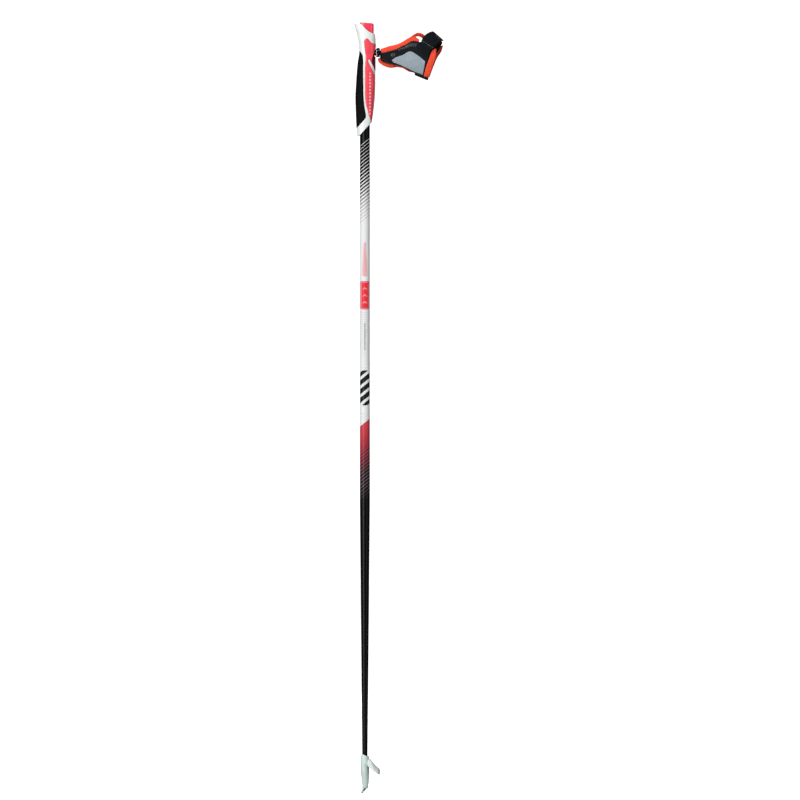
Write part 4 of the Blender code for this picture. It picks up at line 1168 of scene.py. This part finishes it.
def make_button():
    turn = full_turn(96)
    front, rear, half, centre, power = BUTTON_PLAN

    def top(x):
        return 1233.0 - 0.055 * (x + 7.8)

    def ring(inset, drop_share, sink=None):
        x, _ = oval(turn, front, rear, half, centre, power)
        radius = 0.6 + 2.4 * smoothstep((x + 8) / 22.4)
        inset = inset * radius
        px, py = oval(turn, front + inset, rear - inset, half - inset, centre, power)
        return xyz(px, py, top(px) - radius * drop_share if sink is None else sink)

    rings = [ring(0.1, 0, BUTTON_BOTTOM), ring(0, 0, BUTTON_BOTTOM + 0.3), ring(0, 0, 1220.0)]
    for angle in np.radians(np.linspace(0, 90, 8)):
        rings.append(ring(1 - math.cos(angle), 1 - math.sin(angle)))
    last = rings[-1]
    for share in (0.8, 0.6, 0.4, 0.2, 0.05):
        shrunk = (centre, 0, 0) + (last - (centre, 0, 0)) * (share, share, 1)
        shrunk[:, 2] = top(shrunk[:, 0])
        rings.append(shrunk)
    button = build("button", *skin(rings), "button", "button", "button_red", ["release_button"])
    combine(button, [helper("leg", cuboid((-5.2, -3, 1188), (-2.4, 3, BUTTON_BOTTOM + 2)))], "UNION")
    across = SCREW_AXIS.cross(Vector((0, 0, 1)))
    slot, slot_radius = [], 1.3
    for angle in full_turn(24):
        x, z = math.cos(angle) * slot_radius, math.sin(angle) * slot_radius
        rise = BUTTON_TRAVEL if z >= 0 else 0.0
        slot.append(across * x + Vector((0, 0, z + rise)))
    ends = (SCREW_START + SCREW_AXIS * 2, SCREW_START + SCREW_AXIS * 6.2)
    cuts = [helper("screw_slot", skin([[end + p for p in slot] for end in ends]))]
    cuts.append(helper("plate_pocket", plate_room(BUTTON_BOTTOM - 1, BUTTON_BOTTOM + 4)))
    combine(button, cuts)


def make_spring():
    """The coil under the button."""
    low = WELL_FLOOR + GAP + SPRING_WIRE
    high = BUTTON_BOTTOM - GAP - SPRING_WIRE
    turn = np.linspace(0, math.tau * SPRING_TURNS, 127)
    out = xyz(np.cos(turn), np.sin(turn), 0.0)
    centre = (SPRING_X, 0, 0) + out * SPRING_RADIUS
    centre[:, 2] = np.linspace(low, high, len(turn))
    round_wire = full_turn(10)
    across = SPRING_WIRE * np.cos(round_wire)[:, None]
    rise = SPRING_WIRE * np.sin(round_wire)[:, None] * np.array((0, 0, 1.0))
    rings = centre[:, None] + out[:, None] * across + rise
    shape = skin(rings)
    spring = build("spring_coil", *shape, "spring_steel", "pole", "latch_steel", ["button_spring"])
    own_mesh(spring)


# ---------------------------------------------------------------- strap plug


def make_plug():
    profile = [(0.0, 3.3), (0.3, 3.6), (1.2, 4.9), (1.5, 5), (3.2, 5), (3.4, 4.8), (3.4, 3.2), (3.6, 3.0)]
    profile += [(6.4, 3.0), (6.6, 3.2), (6.6, 4.8), (6.8, 5), (17.7, 5), (17.7, 6.4), (17.9, 6.6)]
    profile += [(18.4, 6.6), (18.6, 6.4)]
    shape = spun(profile, (0, 0, SOCKET_HEIGHT), (1, 0, 0))
    plug = build("plug", *shape, "plug", "plug", "plug_black", ["strap_plug"])
    outline = [(17.9, 3.2), (17.9, -3.2)]
    for angle in np.linspace(-math.pi / 2, math.pi / 2, 24):
        outline.append((BAR_X + LUG_RADIUS * math.cos(angle), LUG_RADIUS * math.sin(angle)))
    lugs = [helper(f"lug_{ends[0]:.0f}", prism(outline, ends, "XY")) for ends in LUG_HEIGHTS]
    combine(plug, lugs, "UNION")
    round_edges(plug, 0.3, 3)
    combine(plug, [helper("bar_hole", rod((BAR_X, 0, 1170), (BAR_X, 0, 1200), BAR_RADIUS + GAP))])

    bar = [(1177.6, 1.15), (1177.8, BAR_RADIUS), (1191.5, BAR_RADIUS), (1191.5, 2.0), (1191.65, 2.2)]
    bar += [(1192.0, 2.2), (1192.4, 2.0), (1192.65, 1.4), (1192.75, 0.6)]
    shape = spun(bar, (BAR_X, 0, 0), (0, 0, 1), 48)
    build("bar", *shape, "dark_steel", "plug", "screw_steel", ["plug_bar"])


# ---------------------------------------------------------------- strap cloth


class Cloth:
    """A slab of cloth: a middle surface (rows along it, columns across) and its two faces."""

    def __init__(self, middle, over, under=None, wrap=False, flip=False):
        self.middle, self.wrap = np.asarray(middle, float), wrap
        shape = self.middle.shape[:2]
        self.over = np.broadcast_to(over, shape)
        self.under = self.over if under is None else np.broadcast_to(under, shape)
        if wrap:
            extended = np.concatenate([self.middle[-1:], self.middle, self.middle[:1]])
            along = np.gradient(extended, axis=0)[1:-1]
        else:
            along = np.gradient(self.middle, axis=0)
        across = np.gradient(self.middle, axis=1)
        normal = np.cross(along, across)
        normal /= np.linalg.norm(normal, axis=2)[..., None] + 1e-9
        self.normal = -normal if flip else normal
        centre = self.middle[:, shape[1] // 2]
        long = travelled(centre)
        wide = np.linalg.norm(np.diff(self.middle, axis=1), axis=2)
        wide = np.concatenate([np.zeros((shape[0], 1)), np.cumsum(wide, axis=1)], axis=1)
        self.length, self.width = long[-1], float(np.mean(wide[:, -1]))
        self.place = xyz(long[:, None], wide, 0.0)

    def mesh(self):
        rows, columns = self.middle.shape[:2]
        outer = self.middle + self.normal * self.over[..., None]
        inner = self.middle - self.normal * self.under[..., None]
        count = rows * columns
        faces = grid_faces(rows, columns, self.wrap)
        faces += grid_faces(rows, columns, self.wrap, flip=True, first=count)
        for i in range(rows if self.wrap else rows - 1):
            a, b = i * columns, (i + 1) % rows * columns
            faces.append((a, b, b + count, a + count))
            a, b = a + columns - 1, b + columns - 1
            faces.append((b, a, a + count, b + count))
        if not self.wrap:
            for j in range(columns - 1):
                faces.append((j + 1, j, j + count, j + 1 + count))
                a = (rows - 1) * columns + j
                faces.append((a, a + 1, a + 1 + count, a + count))
        points = np.concatenate([outer.reshape(-1, 3), inner.reshape(-1, 3)])
        return points, faces, np.tile(self.place.reshape(-1, 3), (2, 1))

    def piece(self, name, material, body, slot, nodes=()):
        points, faces, place = self.mesh()
        return build(name, points, faces, material, body, slot, nodes, 60, {"cloth": place})

    def line(self, across=None, along=None, inset=0.0, lift=0.1):
        """A line on the outer face: along the cloth, or across it, at a share of the grid."""
        outer = self.middle + self.normal * (self.over + lift)[..., None]
        if along is None:
            pick = np.s_[:, round(across * (outer.shape[1] - 1))]
        else:
            pick = round(along * (outer.shape[0] - 1))
        outer, normal = outer[pick], self.normal[pick]
        cut = int(inset * len(outer))
        return outer[cut: len(outer) - cut], normal[cut: len(outer) - cut]


def stitches(name, lines, thread, body, slot, pitch=2.6, long=1.7, radius=0.16):
    """Rows of short stitches lying on the cloth, as one mesh."""
    along = np.linspace(-1, 1, 6)
    turn = full_turn(6)
    points, faces = [], []
    for path, normal in lines:
        length = travelled(path)
        for at in np.arange(pitch / 2, length[-1] - pitch / 2, pitch):
            start, end, up = (
                np.array([np.interp(at + shift, length, values[:, k]) for k in range(3)])
                for shift, values in ((-long / 2, path), (long / 2, path), (0.0, normal))
            )
            ahead = (end - start) / np.linalg.norm(end - start)
            side = np.cross(up, ahead)
            first = sum(len(p) for p in points)
            rings = []
            for t in along:
                fat = radius * math.sqrt(max(1 - abs(t) ** 3, 0.02))
                centre = (start + end) / 2 + ahead * (t * long / 2) - up * (0.12 * t * t)
                circle = np.outer(np.cos(turn), side) + np.outer(np.sin(turn), up * 0.7)
                rings.append(centre + circle * fat)
            block, block_faces = skin(rings)
            points.append(block)
            faces += [tuple(first + k for k in face) for face in block_faces]
    return build(name, np.concatenate(points), faces, thread, body, slot, (), 60)


def half_gap(x, z):
    """How far each panel stands from the middle plane: flat at the neck, an oval at the wrist."""
    u = smoothstep((x - NECK_X) / (FULL_X - NECK_X))
    up = -(x - WRIST[0]) * math.sin(WRIST_TILT) + (z - WRIST[1]) * math.cos(WRIST_TILT)
    gap = WRIST_HALF_WIDTH * np.sqrt(np.maximum(1 - (up / WRIST_HALF_HEIGHT) ** 2, 0.04))
    return NECK_HALF_GAP + u * (gap - NECK_HALF_GAP)


def on_hand(lower, upper, side, rows, columns):
    """The middle surface between two edges given in side view, lying on the hand's oval."""
    low, high = curve(lower, rows), curve(upper, rows)
    share = np.linspace(0, 1, columns)[None, :, None]
    flat = low[:, None] + (high - low)[:, None] * share
    x, z = flat[..., 0], flat[..., 1]
    return xyz(x, side * half_gap(x, z), z)


def dome(count, power=6.0):
    """A crown across a cloth that is thin at both edges."""
    return np.sqrt(np.maximum(1 - np.abs(np.linspace(-1, 1, count)) ** power, 0.0))


def crowned(rows, columns, thin, thick, power=6.0):
    return thin + (thick - thin) * np.outer(dome(rows, 30.0), dome(columns, power))


def move_up(edge, by):
    return [(x, z + by) for x, z in edge]


BACK_TOP = [(27.1, 1184.3), (39.9, 1187.0), (51.1, 1190.1), (59.1, 1193.9), (67.9, 1197.8), (75.1, 1202.0),
            (86.5, 1200.9), (95.0, 1195.5), (106.0, 1187.5)]
BACK_LOW = [(28.0, 1176.0), (40.1, 1168.0), (51.1, 1165.3), (61.5, 1162.6), (72.2, 1156.2), (78.3, 1154.0),
            (93.2, 1148.6)]
PALM_TOP = [(25.5, 1184.3), *BACK_TOP[1:6], (87.0, 1203.0), (97.0, 1203.6), (107.0, 1201.0), (115.5, 1196.3)]
PALM_LOW = [(24.0, 1176.2), (27.5, 1171.3), (33.9, 1168.3), (40.3, 1166.6), (52.9, 1167.6), (60.0, 1166.3),
            (70.0, 1161.0), (80.0, 1156.0), (95.0, 1150.5)]
TRIM_TOP = [(25.0, 1190.6), (39.9, 1195.2), (50.8, 1197.4), (61.5, 1202.1), (69.7, 1207.2)]
BAND_STATIONS = (
    (90.3, 0.0, 1145.3, -22),
    (91.0, -13.6, 1152.2, -22),
    (92.6, -20.4, 1169.0, -24),
    (97.0, -19.8, 1188.0, -30),
    (105.5, -12.0, 1202.4, -37),
    (115.0, 0.0, 1208.6, -41),
    (113.0, 12.0, 1204.5, -38),
    (106.0, 18.4, 1192.0, -33),
    (97.0, 20.4, 1173.0, -25),
    (91.5, 13.6, 1152.2, -22),
)
TAB_STATIONS = (
    (117.3, 2.0, 1211.6, -41),
    (111.8, -8.6, 1209.6, -39),
    (105.8, -20.4, 1205.0, -36),
    (100.9, -28.2, 1198.0, -33),
    (98.1, -31.0, 1190.8, -31),
)


def inflate(obj, held, pressure=2.5, growth=0.02, cap=0.55, frames=14):
    """Puffs a panel with the cloth solver between its sewn edges; no point moves past the cap."""
    count = len(obj.data.vertices)
    rest = np.empty(count * 3)
    obj.data.vertices.foreach_get("co", rest)
    group = obj.vertex_groups.new(name="held")
    group.add([k for k in range(count) if held[k]], 1.0, "REPLACE")
    modifier = obj.modifiers.new("puff", "CLOTH")
    settings = modifier.settings
    settings.quality = 6
    settings.mass = 0.15
    settings.tension_stiffness = settings.compression_stiffness = 12.0
    settings.shear_stiffness = 4.0
    settings.bending_stiffness = 0.3
    settings.vertex_group_mass = "held"
    settings.use_pressure = True
    settings.uniform_pressure_force = pressure
    settings.shrink_min = -growth
    settings.effector_weights.gravity = 0.0
    scene = bpy.context.scene
    modifier.point_cache.frame_start, modifier.point_cache.frame_end = 1, frames
    for number in range(1, frames + 1):
        scene.frame_set(number)
    puffed = obj.evaluated_get(bpy.context.evaluated_depsgraph_get()).to_mesh()
    moved = np.empty(count * 3)
    puffed.vertices.foreach_get("co", moved)
    obj.modifiers.clear()
    obj.vertex_groups.clear()
    scene.frame_set(1)
    step = (moved - rest).reshape(-1, 3)
    size = np.linalg.norm(step, axis=1)[:, None] + 1e-12
    step *= np.tanh(size / (cap * MM)) * cap * MM / size
    obj.data.vertices.foreach_set("co", (rest.reshape(-1, 3) + step).ravel())
    obj.data.update()


def panel(name, lower, upper, side, nodes):
    rows, columns = 76, 25
    wander = np.random.default_rng(7 + side).normal(0, 0.02, (rows, columns))
    thickness = crowned(rows, columns, 0.35, 1.0) + wander
    slab = Cloth(on_hand(lower, upper, side, rows, columns), thickness, flip=side > 0)
    obj = slab.piece(name, "panel", "strap", "strap_black", nodes)
    edge = np.zeros((rows, columns), bool)
    edge[:2], edge[-2:], edge[:, :2], edge[:, -2:] = True, True, True, True
    inflate(obj, np.tile(edge.ravel(), 2))
    return slab


def binding(name, lower, upper, side, nodes, thick=1.5, columns=11, material="binding",
            slot="binding_orange"):
    """A tube of ribbed elastic folded over a panel's edge."""
    rows = max(40, int(travelled(lower[: len(upper)])[-1] / 0.32))
    slab = Cloth(on_hand(lower, upper, side, rows, columns), 1.0, flip=side > 0)
    along, across, _ = np.moveaxis(slab.place, -1, 0)
    ribs = np.abs(np.sin((along + RIB_SLANT * across) * math.pi / RIB_PITCH)) * 0.14
    full = crowned(rows, columns, 0.15, thick, 2.2)
    slab.over = slab.under = full + (ribs - 0.07) * np.clip(full / thick, 0, 1)
    slab.piece(name, material, "strap", slot, nodes)
    return slab


def patch(name, lower, upper, side, lift, thick, material, slot, nodes, rows=60, columns=24):
    """A flat piece of cloth sewn on a panel's outer face."""
    base = Cloth(on_hand(lower, upper, side, rows, columns), 0.0, flip=side > 0)
    middle = base.middle + base.normal * lift
    over = crowned(rows, columns, 0.05, thick / 2, 10.0)
    slab = Cloth(middle, over, thick / 2, flip=side > 0)
    obj = slab.piece(name, material, "strap", slot, nodes)
    return slab


def tape(stations, half_width, thick, rows, columns, closed=False, round_end=0.0):
    """A flat tape swept along stations of (x, y, z, tilt of its width in degrees)."""
    path = curve(stations, rows, closed)
    tilt = np.radians(path[:, 3])
    across = xyz(np.cos(tilt), 0.0, np.sin(tilt))
    centre = path[:, :3]
    half = np.full(rows, half_width)
    if round_end:
        long = travelled(centre)
        over_end = np.clip((long - long[-1] + round_end) / round_end, 0, 1)
        half = half_width - round_end * (1 - np.sqrt(1 - over_end**2 * 0.97))
    share = np.linspace(-1, 1, columns)
    middle = centre[:, None] + across[:, None] * (half[:, None] * share)[..., None]
    return Cloth(middle, 0.15 + (thick / 2 - 0.15) * dome(columns, 8.0), wrap=closed)


def outward(slab):
    """The face of a closed tape that looks away from its middle."""
    centre = slab.middle.mean(axis=(0, 1))
    facing = np.sum((slab.middle - centre) * slab.normal)
    if facing < 0:
        slab.normal = -slab.normal
    return slab


def make_webbing():
    """A flat tape that turns round the bar; its two legs run back between the panels."""
    radius, leg, rows, columns = 2.1, 0.68, 150, 21
    bend = np.radians(np.linspace(54, 306, 40))
    round_bar = np.column_stack([BAR_X + radius * np.cos(bend), radius * np.sin(bend)])
    start = [(36.0 - k, leg) for k in range(0, 10)]
    end = [(x, -y) for x, y in start[::-1]]
    path = np.concatenate([start, [(24.6, 1.0)], round_bar, [(24.6, -1.0)], end])
    middle = np.empty((rows, columns, 3))
    middle[..., :2] = curve(path, rows)[:, None]
    middle[..., 2] = np.linspace(1179.8, 1188.4, columns)
    slab = Cloth(middle, 0.12 + 0.36 * dome(columns, 14.0))
    slab.piece("webbing", "webbing", "strap", "webbing_black", ["webbing_loop"])


def make_panels():
    back = panel("back_panel_knit", BACK_LOW, BACK_TOP, -1, ["back_panel"])
    panel("palm_panel_knit", PALM_LOW, PALM_TOP, 1, ["palm_panel"])

    back_trim = [*TRIM_TOP, (77.0, 1210.2), (86.9, 1204.6)]
    near_top = binding("thumb_edge_back", move_up(BACK_TOP[:7], -0.4), back_trim, -1, ["thumb_binding_back"])
    arch_top = [*TRIM_TOP, (76.2, 1213.6), (84.6, 1217.6), (92.6, 1215.6), (98.5, 1211.0), (103.5, 1205.4)]
    arch_low = [(25.5, 1184.3), *BACK_TOP[1:5], (75.3, 1204.5), (79.5, 1210.5), (85.0, 1212.0)]
    arch_low += [(90.6, 1210.0), (95.2, 1206.2), (99.0, 1202.4)]
    far_top = binding("thumb_edge_palm", arch_low, arch_top, 1, ["thumb_binding_palm"])

    palm_edge = [(20.2, 1175.6), (22.3, 1169.6), (27.3, 1165.3), (33.7, 1162.2), (40.3, 1160.5)]
    palm_edge += [(52.9, 1161.8), (60.0, 1160.6), (70.0, 1155.4), (80.0, 1153.6)]
    palm_low = move_up(PALM_LOW[:8], 0.4)
    far_low = binding("finger_edge_palm", palm_edge, palm_low, 1, ["finger_binding_palm"])
    back_edge = [(27.5, 1174.3), (40.1, 1166.4), (51.1, 1163.7), (61.5, 1161.2), (72.2, 1154.6)]
    back_edge += [(78.3, 1152.3), (92.9, 1146.9)]
    near_low = binding("finger_edge_back", back_edge, move_up(BACK_LOW, 0.3), -1, ["finger_binding_back"],
                       1.15, 7, "dark_binding", "webbing_black")

    hem_low = [(93.9, 1146.6), (96.9, 1158.3), (100.4, 1168.2), (104.6, 1179.6), (107.0, 1185.6)]
    hem_low.append((112.0, 1190.0))
    hem_high = [(102.6, 1144.6), (106.2, 1154.0), (110.2, 1166.6), (113.9, 1178.6), (114.2, 1184.0)]
    hem_high.append((113.8, 1189.4))
    near_hem = binding("wrist_edge_back", hem_low, hem_high, -1, ["wrist_hem_back"], 1.5, 17)
    hem_low = [(96.2, 1149.6), (99.4, 1157.2), (105.6, 1171.2), (111.2, 1184.0), (116.8, 1195.8)]
    hem_high = [(103.8, 1146.6), (109.6, 1162.6), (117.0, 1179.6), (122.6, 1187.9), (125.4, 1197.6)]
    far_hem = binding("wrist_edge_palm", hem_low, hem_high, 1, ["wrist_hem_palm"], 1.5, 17)

    lines = [near_top.line(across=0.2), far_top.line(across=0.2), far_low.line(across=0.8)]
    lines += [hem.line(across=share) for hem in (near_hem, far_hem) for share in (0.12, 0.88)]
    stitches("edge_stitching", lines, "orange_thread", "strap", "binding_orange")
    stitches("panel_stitching", [near_low.line(across=0.5)], "black_thread", "strap", "strap_black")
    return back


def make_panel_marks(back):
    """Plain embroidered marks along the back panel: a small ring, then a row of short bars."""
    middle = back.middle + back.normal * (back.over + 0.75)[..., None]
    rows, columns = middle.shape[:2]

    def spot(along, across):
        i, j = round(along * (rows - 1)), round(across * (columns - 1))
        return middle[i, j], back.normal[i, j]

    spots = []
    for along in np.linspace(0.34, 0.68, 12):
        (start, up), (end, _) = spot(along, 0.78), spot(along + 0.01, 0.9)
        spots.append((start, end, up))
    bartacks("panel_marks", spots, "grey_thread", "strap", "patch_grey")
    centre, up = spot(0.235, 0.62)
    turn = np.linspace(0, math.tau, 60)[:, None]
    ahead = spot(0.28, 0.62)[0] - centre
    ahead /= np.linalg.norm(ahead)
    ring = centre + np.cos(turn) * ahead * 3.4 + np.sin(turn) * np.cross(up, ahead) * 1.7
    circle = [(ring, np.broadcast_to(up, ring.shape))]
    stitches("panel_ring", circle, "grey_thread", "strap", "patch_grey", 0.7, 0.62, 0.28)


def make_patches():
    low = [(44.5, 1171.6), (46.5, 1169.3), (50.8, 1167.6), (63.6, 1162.6), (71.3, 1158.5), (78.3, 1155.4)]
    low += [(86.5, 1152.2), (93.0, 1150.0)]
    top = [(44.4, 1173.4), (48.6, 1176.0), (61.5, 1180.3), (71.9, 1185.4), (86.5, 1177.8), (96.6, 1169.6)]
    grey = patch("hand_patch", low, top, -1, 1.95, 0.7, "patch", "patch_grey", ["back_patch"])
    top = [(88.5, 1196.6), (95.3, 1192.7), (104.6, 1186.2)]
    low = [(88.5, 1186.8), (95.4, 1181.4), (101.4, 1176.2)]
    loop = patch("loop_pile", low, top, -1, 2.0, 0.8, "pile", "loop_black", ["loop_patch"], 30, 16)
    edge = [grey.line(across=0.08, inset=0.02), grey.line(across=0.92, inset=0.02), grey.line(along=0.02)]
    stitches("patch_stitching", edge, "grey_thread", "strap", "patch_grey", 2.2, 1.5, 0.13)
    edge = [loop.line(across=0.07), loop.line(across=0.93), loop.line(along=0.03)]
    stitches("loop_stitching", edge, "black_thread", "strap", "loop_black", 2.2, 1.5, 0.13)


def bartacks(name, spots, thread, body, slot):
    """Dense little bars of thread where the strap's layers are tacked: (start, end, normal)."""
    lines = []
    for start, end, up in spots:
        start, end, up = (np.asarray(v, float) for v in (start, end, up))
        path = start + (end - start) * np.linspace(0, 1, 20)[:, None]
        lines.append((path, np.broadcast_to(up / np.linalg.norm(up), path.shape)))
    stitches(name, lines, thread, body, slot, 0.62, 0.5, 0.3)


def make_band_and_tab():
    band = outward(tape(BAND_STATIONS, 11.8, 1.8, 150, 23, closed=True))
    obj = band.piece("wrist_band_weave", "band", "strap", "band_black", ["wrist_band"])
    closed = [tuple(np.concatenate([v, v[:1]]) for v in band.line(across=a)) for a in (0.1, 0.9)]
    stitches("band_stitching", closed, "black_thread", "strap", "band_black")

    tab = tape(TAB_STATIONS, 11.6, 1.6, 90, 31, round_end=7.0)
    if tab.normal[..., 1].mean() > 0:
        tab.normal = -tab.normal
    obj = tab.piece("closure_tab_weave", "band", "tab", "band_black", ["closure_tab"])
    sides = [tab.line(across=share, inset=0.02) for share in (0.1, 0.9)]
    stitches("tab_stitching", sides, "black_thread", "tab", "band_black")
    end = [tab.line(along=0.87, inset=0.04)]
    stitches("tab_end_stitching", end, "grey_thread", "tab", "band_black", 1.9, 1.5)
    outer, normal = tab.line(along=0.12, inset=0.2)
    tacks = [(outer[k], outer[k + 5], normal[k]) for k in (6, 12)]
    bartacks("tab_tacks", tacks, "pink_thread", "tab", "band_black")

    hook_top = [(95.0, 1201.8), (100.3, 1198.3), (107.5, 1192.8)]
    hook_low = [(90.0, 1192.5), (95.3, 1188.9), (102.6, 1183.6)]
    base = Cloth(on_hand(hook_low, hook_top, -1, 24, 12), 0.0)
    hook = Cloth(base.middle + base.normal * 3.0, 0.3)
    obj = hook.piece("hook_pile", "pile", "tab", "loop_black", ["hook_patch"])


def restyle_hidden_nodes():
    """The latch's own parts keep their shape and get drawn-metal finishes."""
    for node, material in (("latch_plate", "spring_steel"), ("retaining_screw", "dark_steel")):
        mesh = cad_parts[node].data
        mesh.materials.clear()
        mesh.materials.append(MATERIALS[material])


# ---------------------------------------------------------------- stage, lights and camera


def make_stage():
    """A round white paper sweep: a floor that curves up into a wall all round the pole."""
    floor_z, radius, bend, height, columns = TIP_Z - 0.0005, 14.0, 2.0, 9.0, 96
    flat = radius - bend
    profile = [(0.2, floor_z), (4.0, floor_z), (flat, floor_z)]
    for angle in np.linspace(-math.pi / 2, 0, 16):
        profile.append((flat + bend * math.cos(angle), floor_z + bend + bend * math.sin(angle)))
    profile.append((radius, floor_z + height))
    turn = full_turn(columns)
    points = [(r * math.cos(a), r * math.sin(a), z) for r, z in profile for a in turn]
    faces = grid_faces(len(profile), columns, False, True)
    faces.append(tuple(range(columns)))
    mesh = bpy.data.meshes.new("floor")
    mesh.from_pydata(points, [], faces)
    mesh.shade_smooth()
    floor = add_object("floor", mesh)
    shader = Shader("floor_paper", 0.95)
    shader.colour((0.9, 0.9, 0.9))
    shader.surface.inputs["Emission Color"].default_value = (1.0, 1.0, 1.0, 1.0)
    shader.surface.inputs["Emission Strength"].default_value = 1.1
    mesh.materials.append(shader.material)
    floor.visible_diffuse = floor.visible_glossy = floor.visible_shadow = False


def soft_light(name, place, target, size, power):
    light = bpy.data.lights.new(name, "AREA")
    light.shape = "RECTANGLE"
    light.size, light.size_y = size
    light.energy = power
    obj = add_object(name, light)
    obj.location = place
    aim = Vector(target) - Vector(place)
    obj.rotation_euler = aim.to_track_quat("-Z", "Y").to_euler()


def make_lights():
    middle = (0.03, 0.0, -0.5)
    soft_light("key", (-1.6, -2.3, -0.2), middle, (1.5, 2.6), 88.0)
    soft_light("fill", (1.9, -1.7, -0.2), middle, (1.0, 2.6), 16.0)
    soft_light("top", (0.1, -0.5, 1.6), (0.05, 0.0, -0.1), (1.6, 1.2), 12.0)
    soft_light("back", (0.2, 3.2, 0.5), middle, (2.2, 2.2), 40.0)
    world = bpy.data.worlds.new("studio")
    bpy.context.scene.world = world
    world.use_nodes = True
    world.node_tree.nodes["Background"].inputs["Color"].default_value = (1.0, 1.0, 1.0, 1.0)
    world.node_tree.nodes["Background"].inputs["Strength"].default_value = 0.16
    bpy.context.scene.view_settings.view_transform = "Standard"


def make_camera():
    """Level, far off and square to the side of the pole."""
    middle, distance, height = 0.0562, 10.668, 0.629  # metres; the height is over the spike's point
    camera = bpy.data.cameras.new("camera")
    camera.lens, camera.sensor_width = 300.0, 36.0
    obj = add_object("camera", camera)
    obj.location = (middle, -distance, TIP_Z + height)
    obj.rotation_euler = (math.pi / 2, 0.0, 0.0)
    bpy.context.scene.camera = obj


make_camera()
make_materials()
make_shaft()
make_ferrule()
make_claw()
make_basket()
make_grip()
make_button()
make_spring()
make_plug()
make_webbing()
make_panel_marks(make_panels())
make_patches()
make_band_and_tab()
restyle_hidden_nodes()
make_stage()
make_lights()
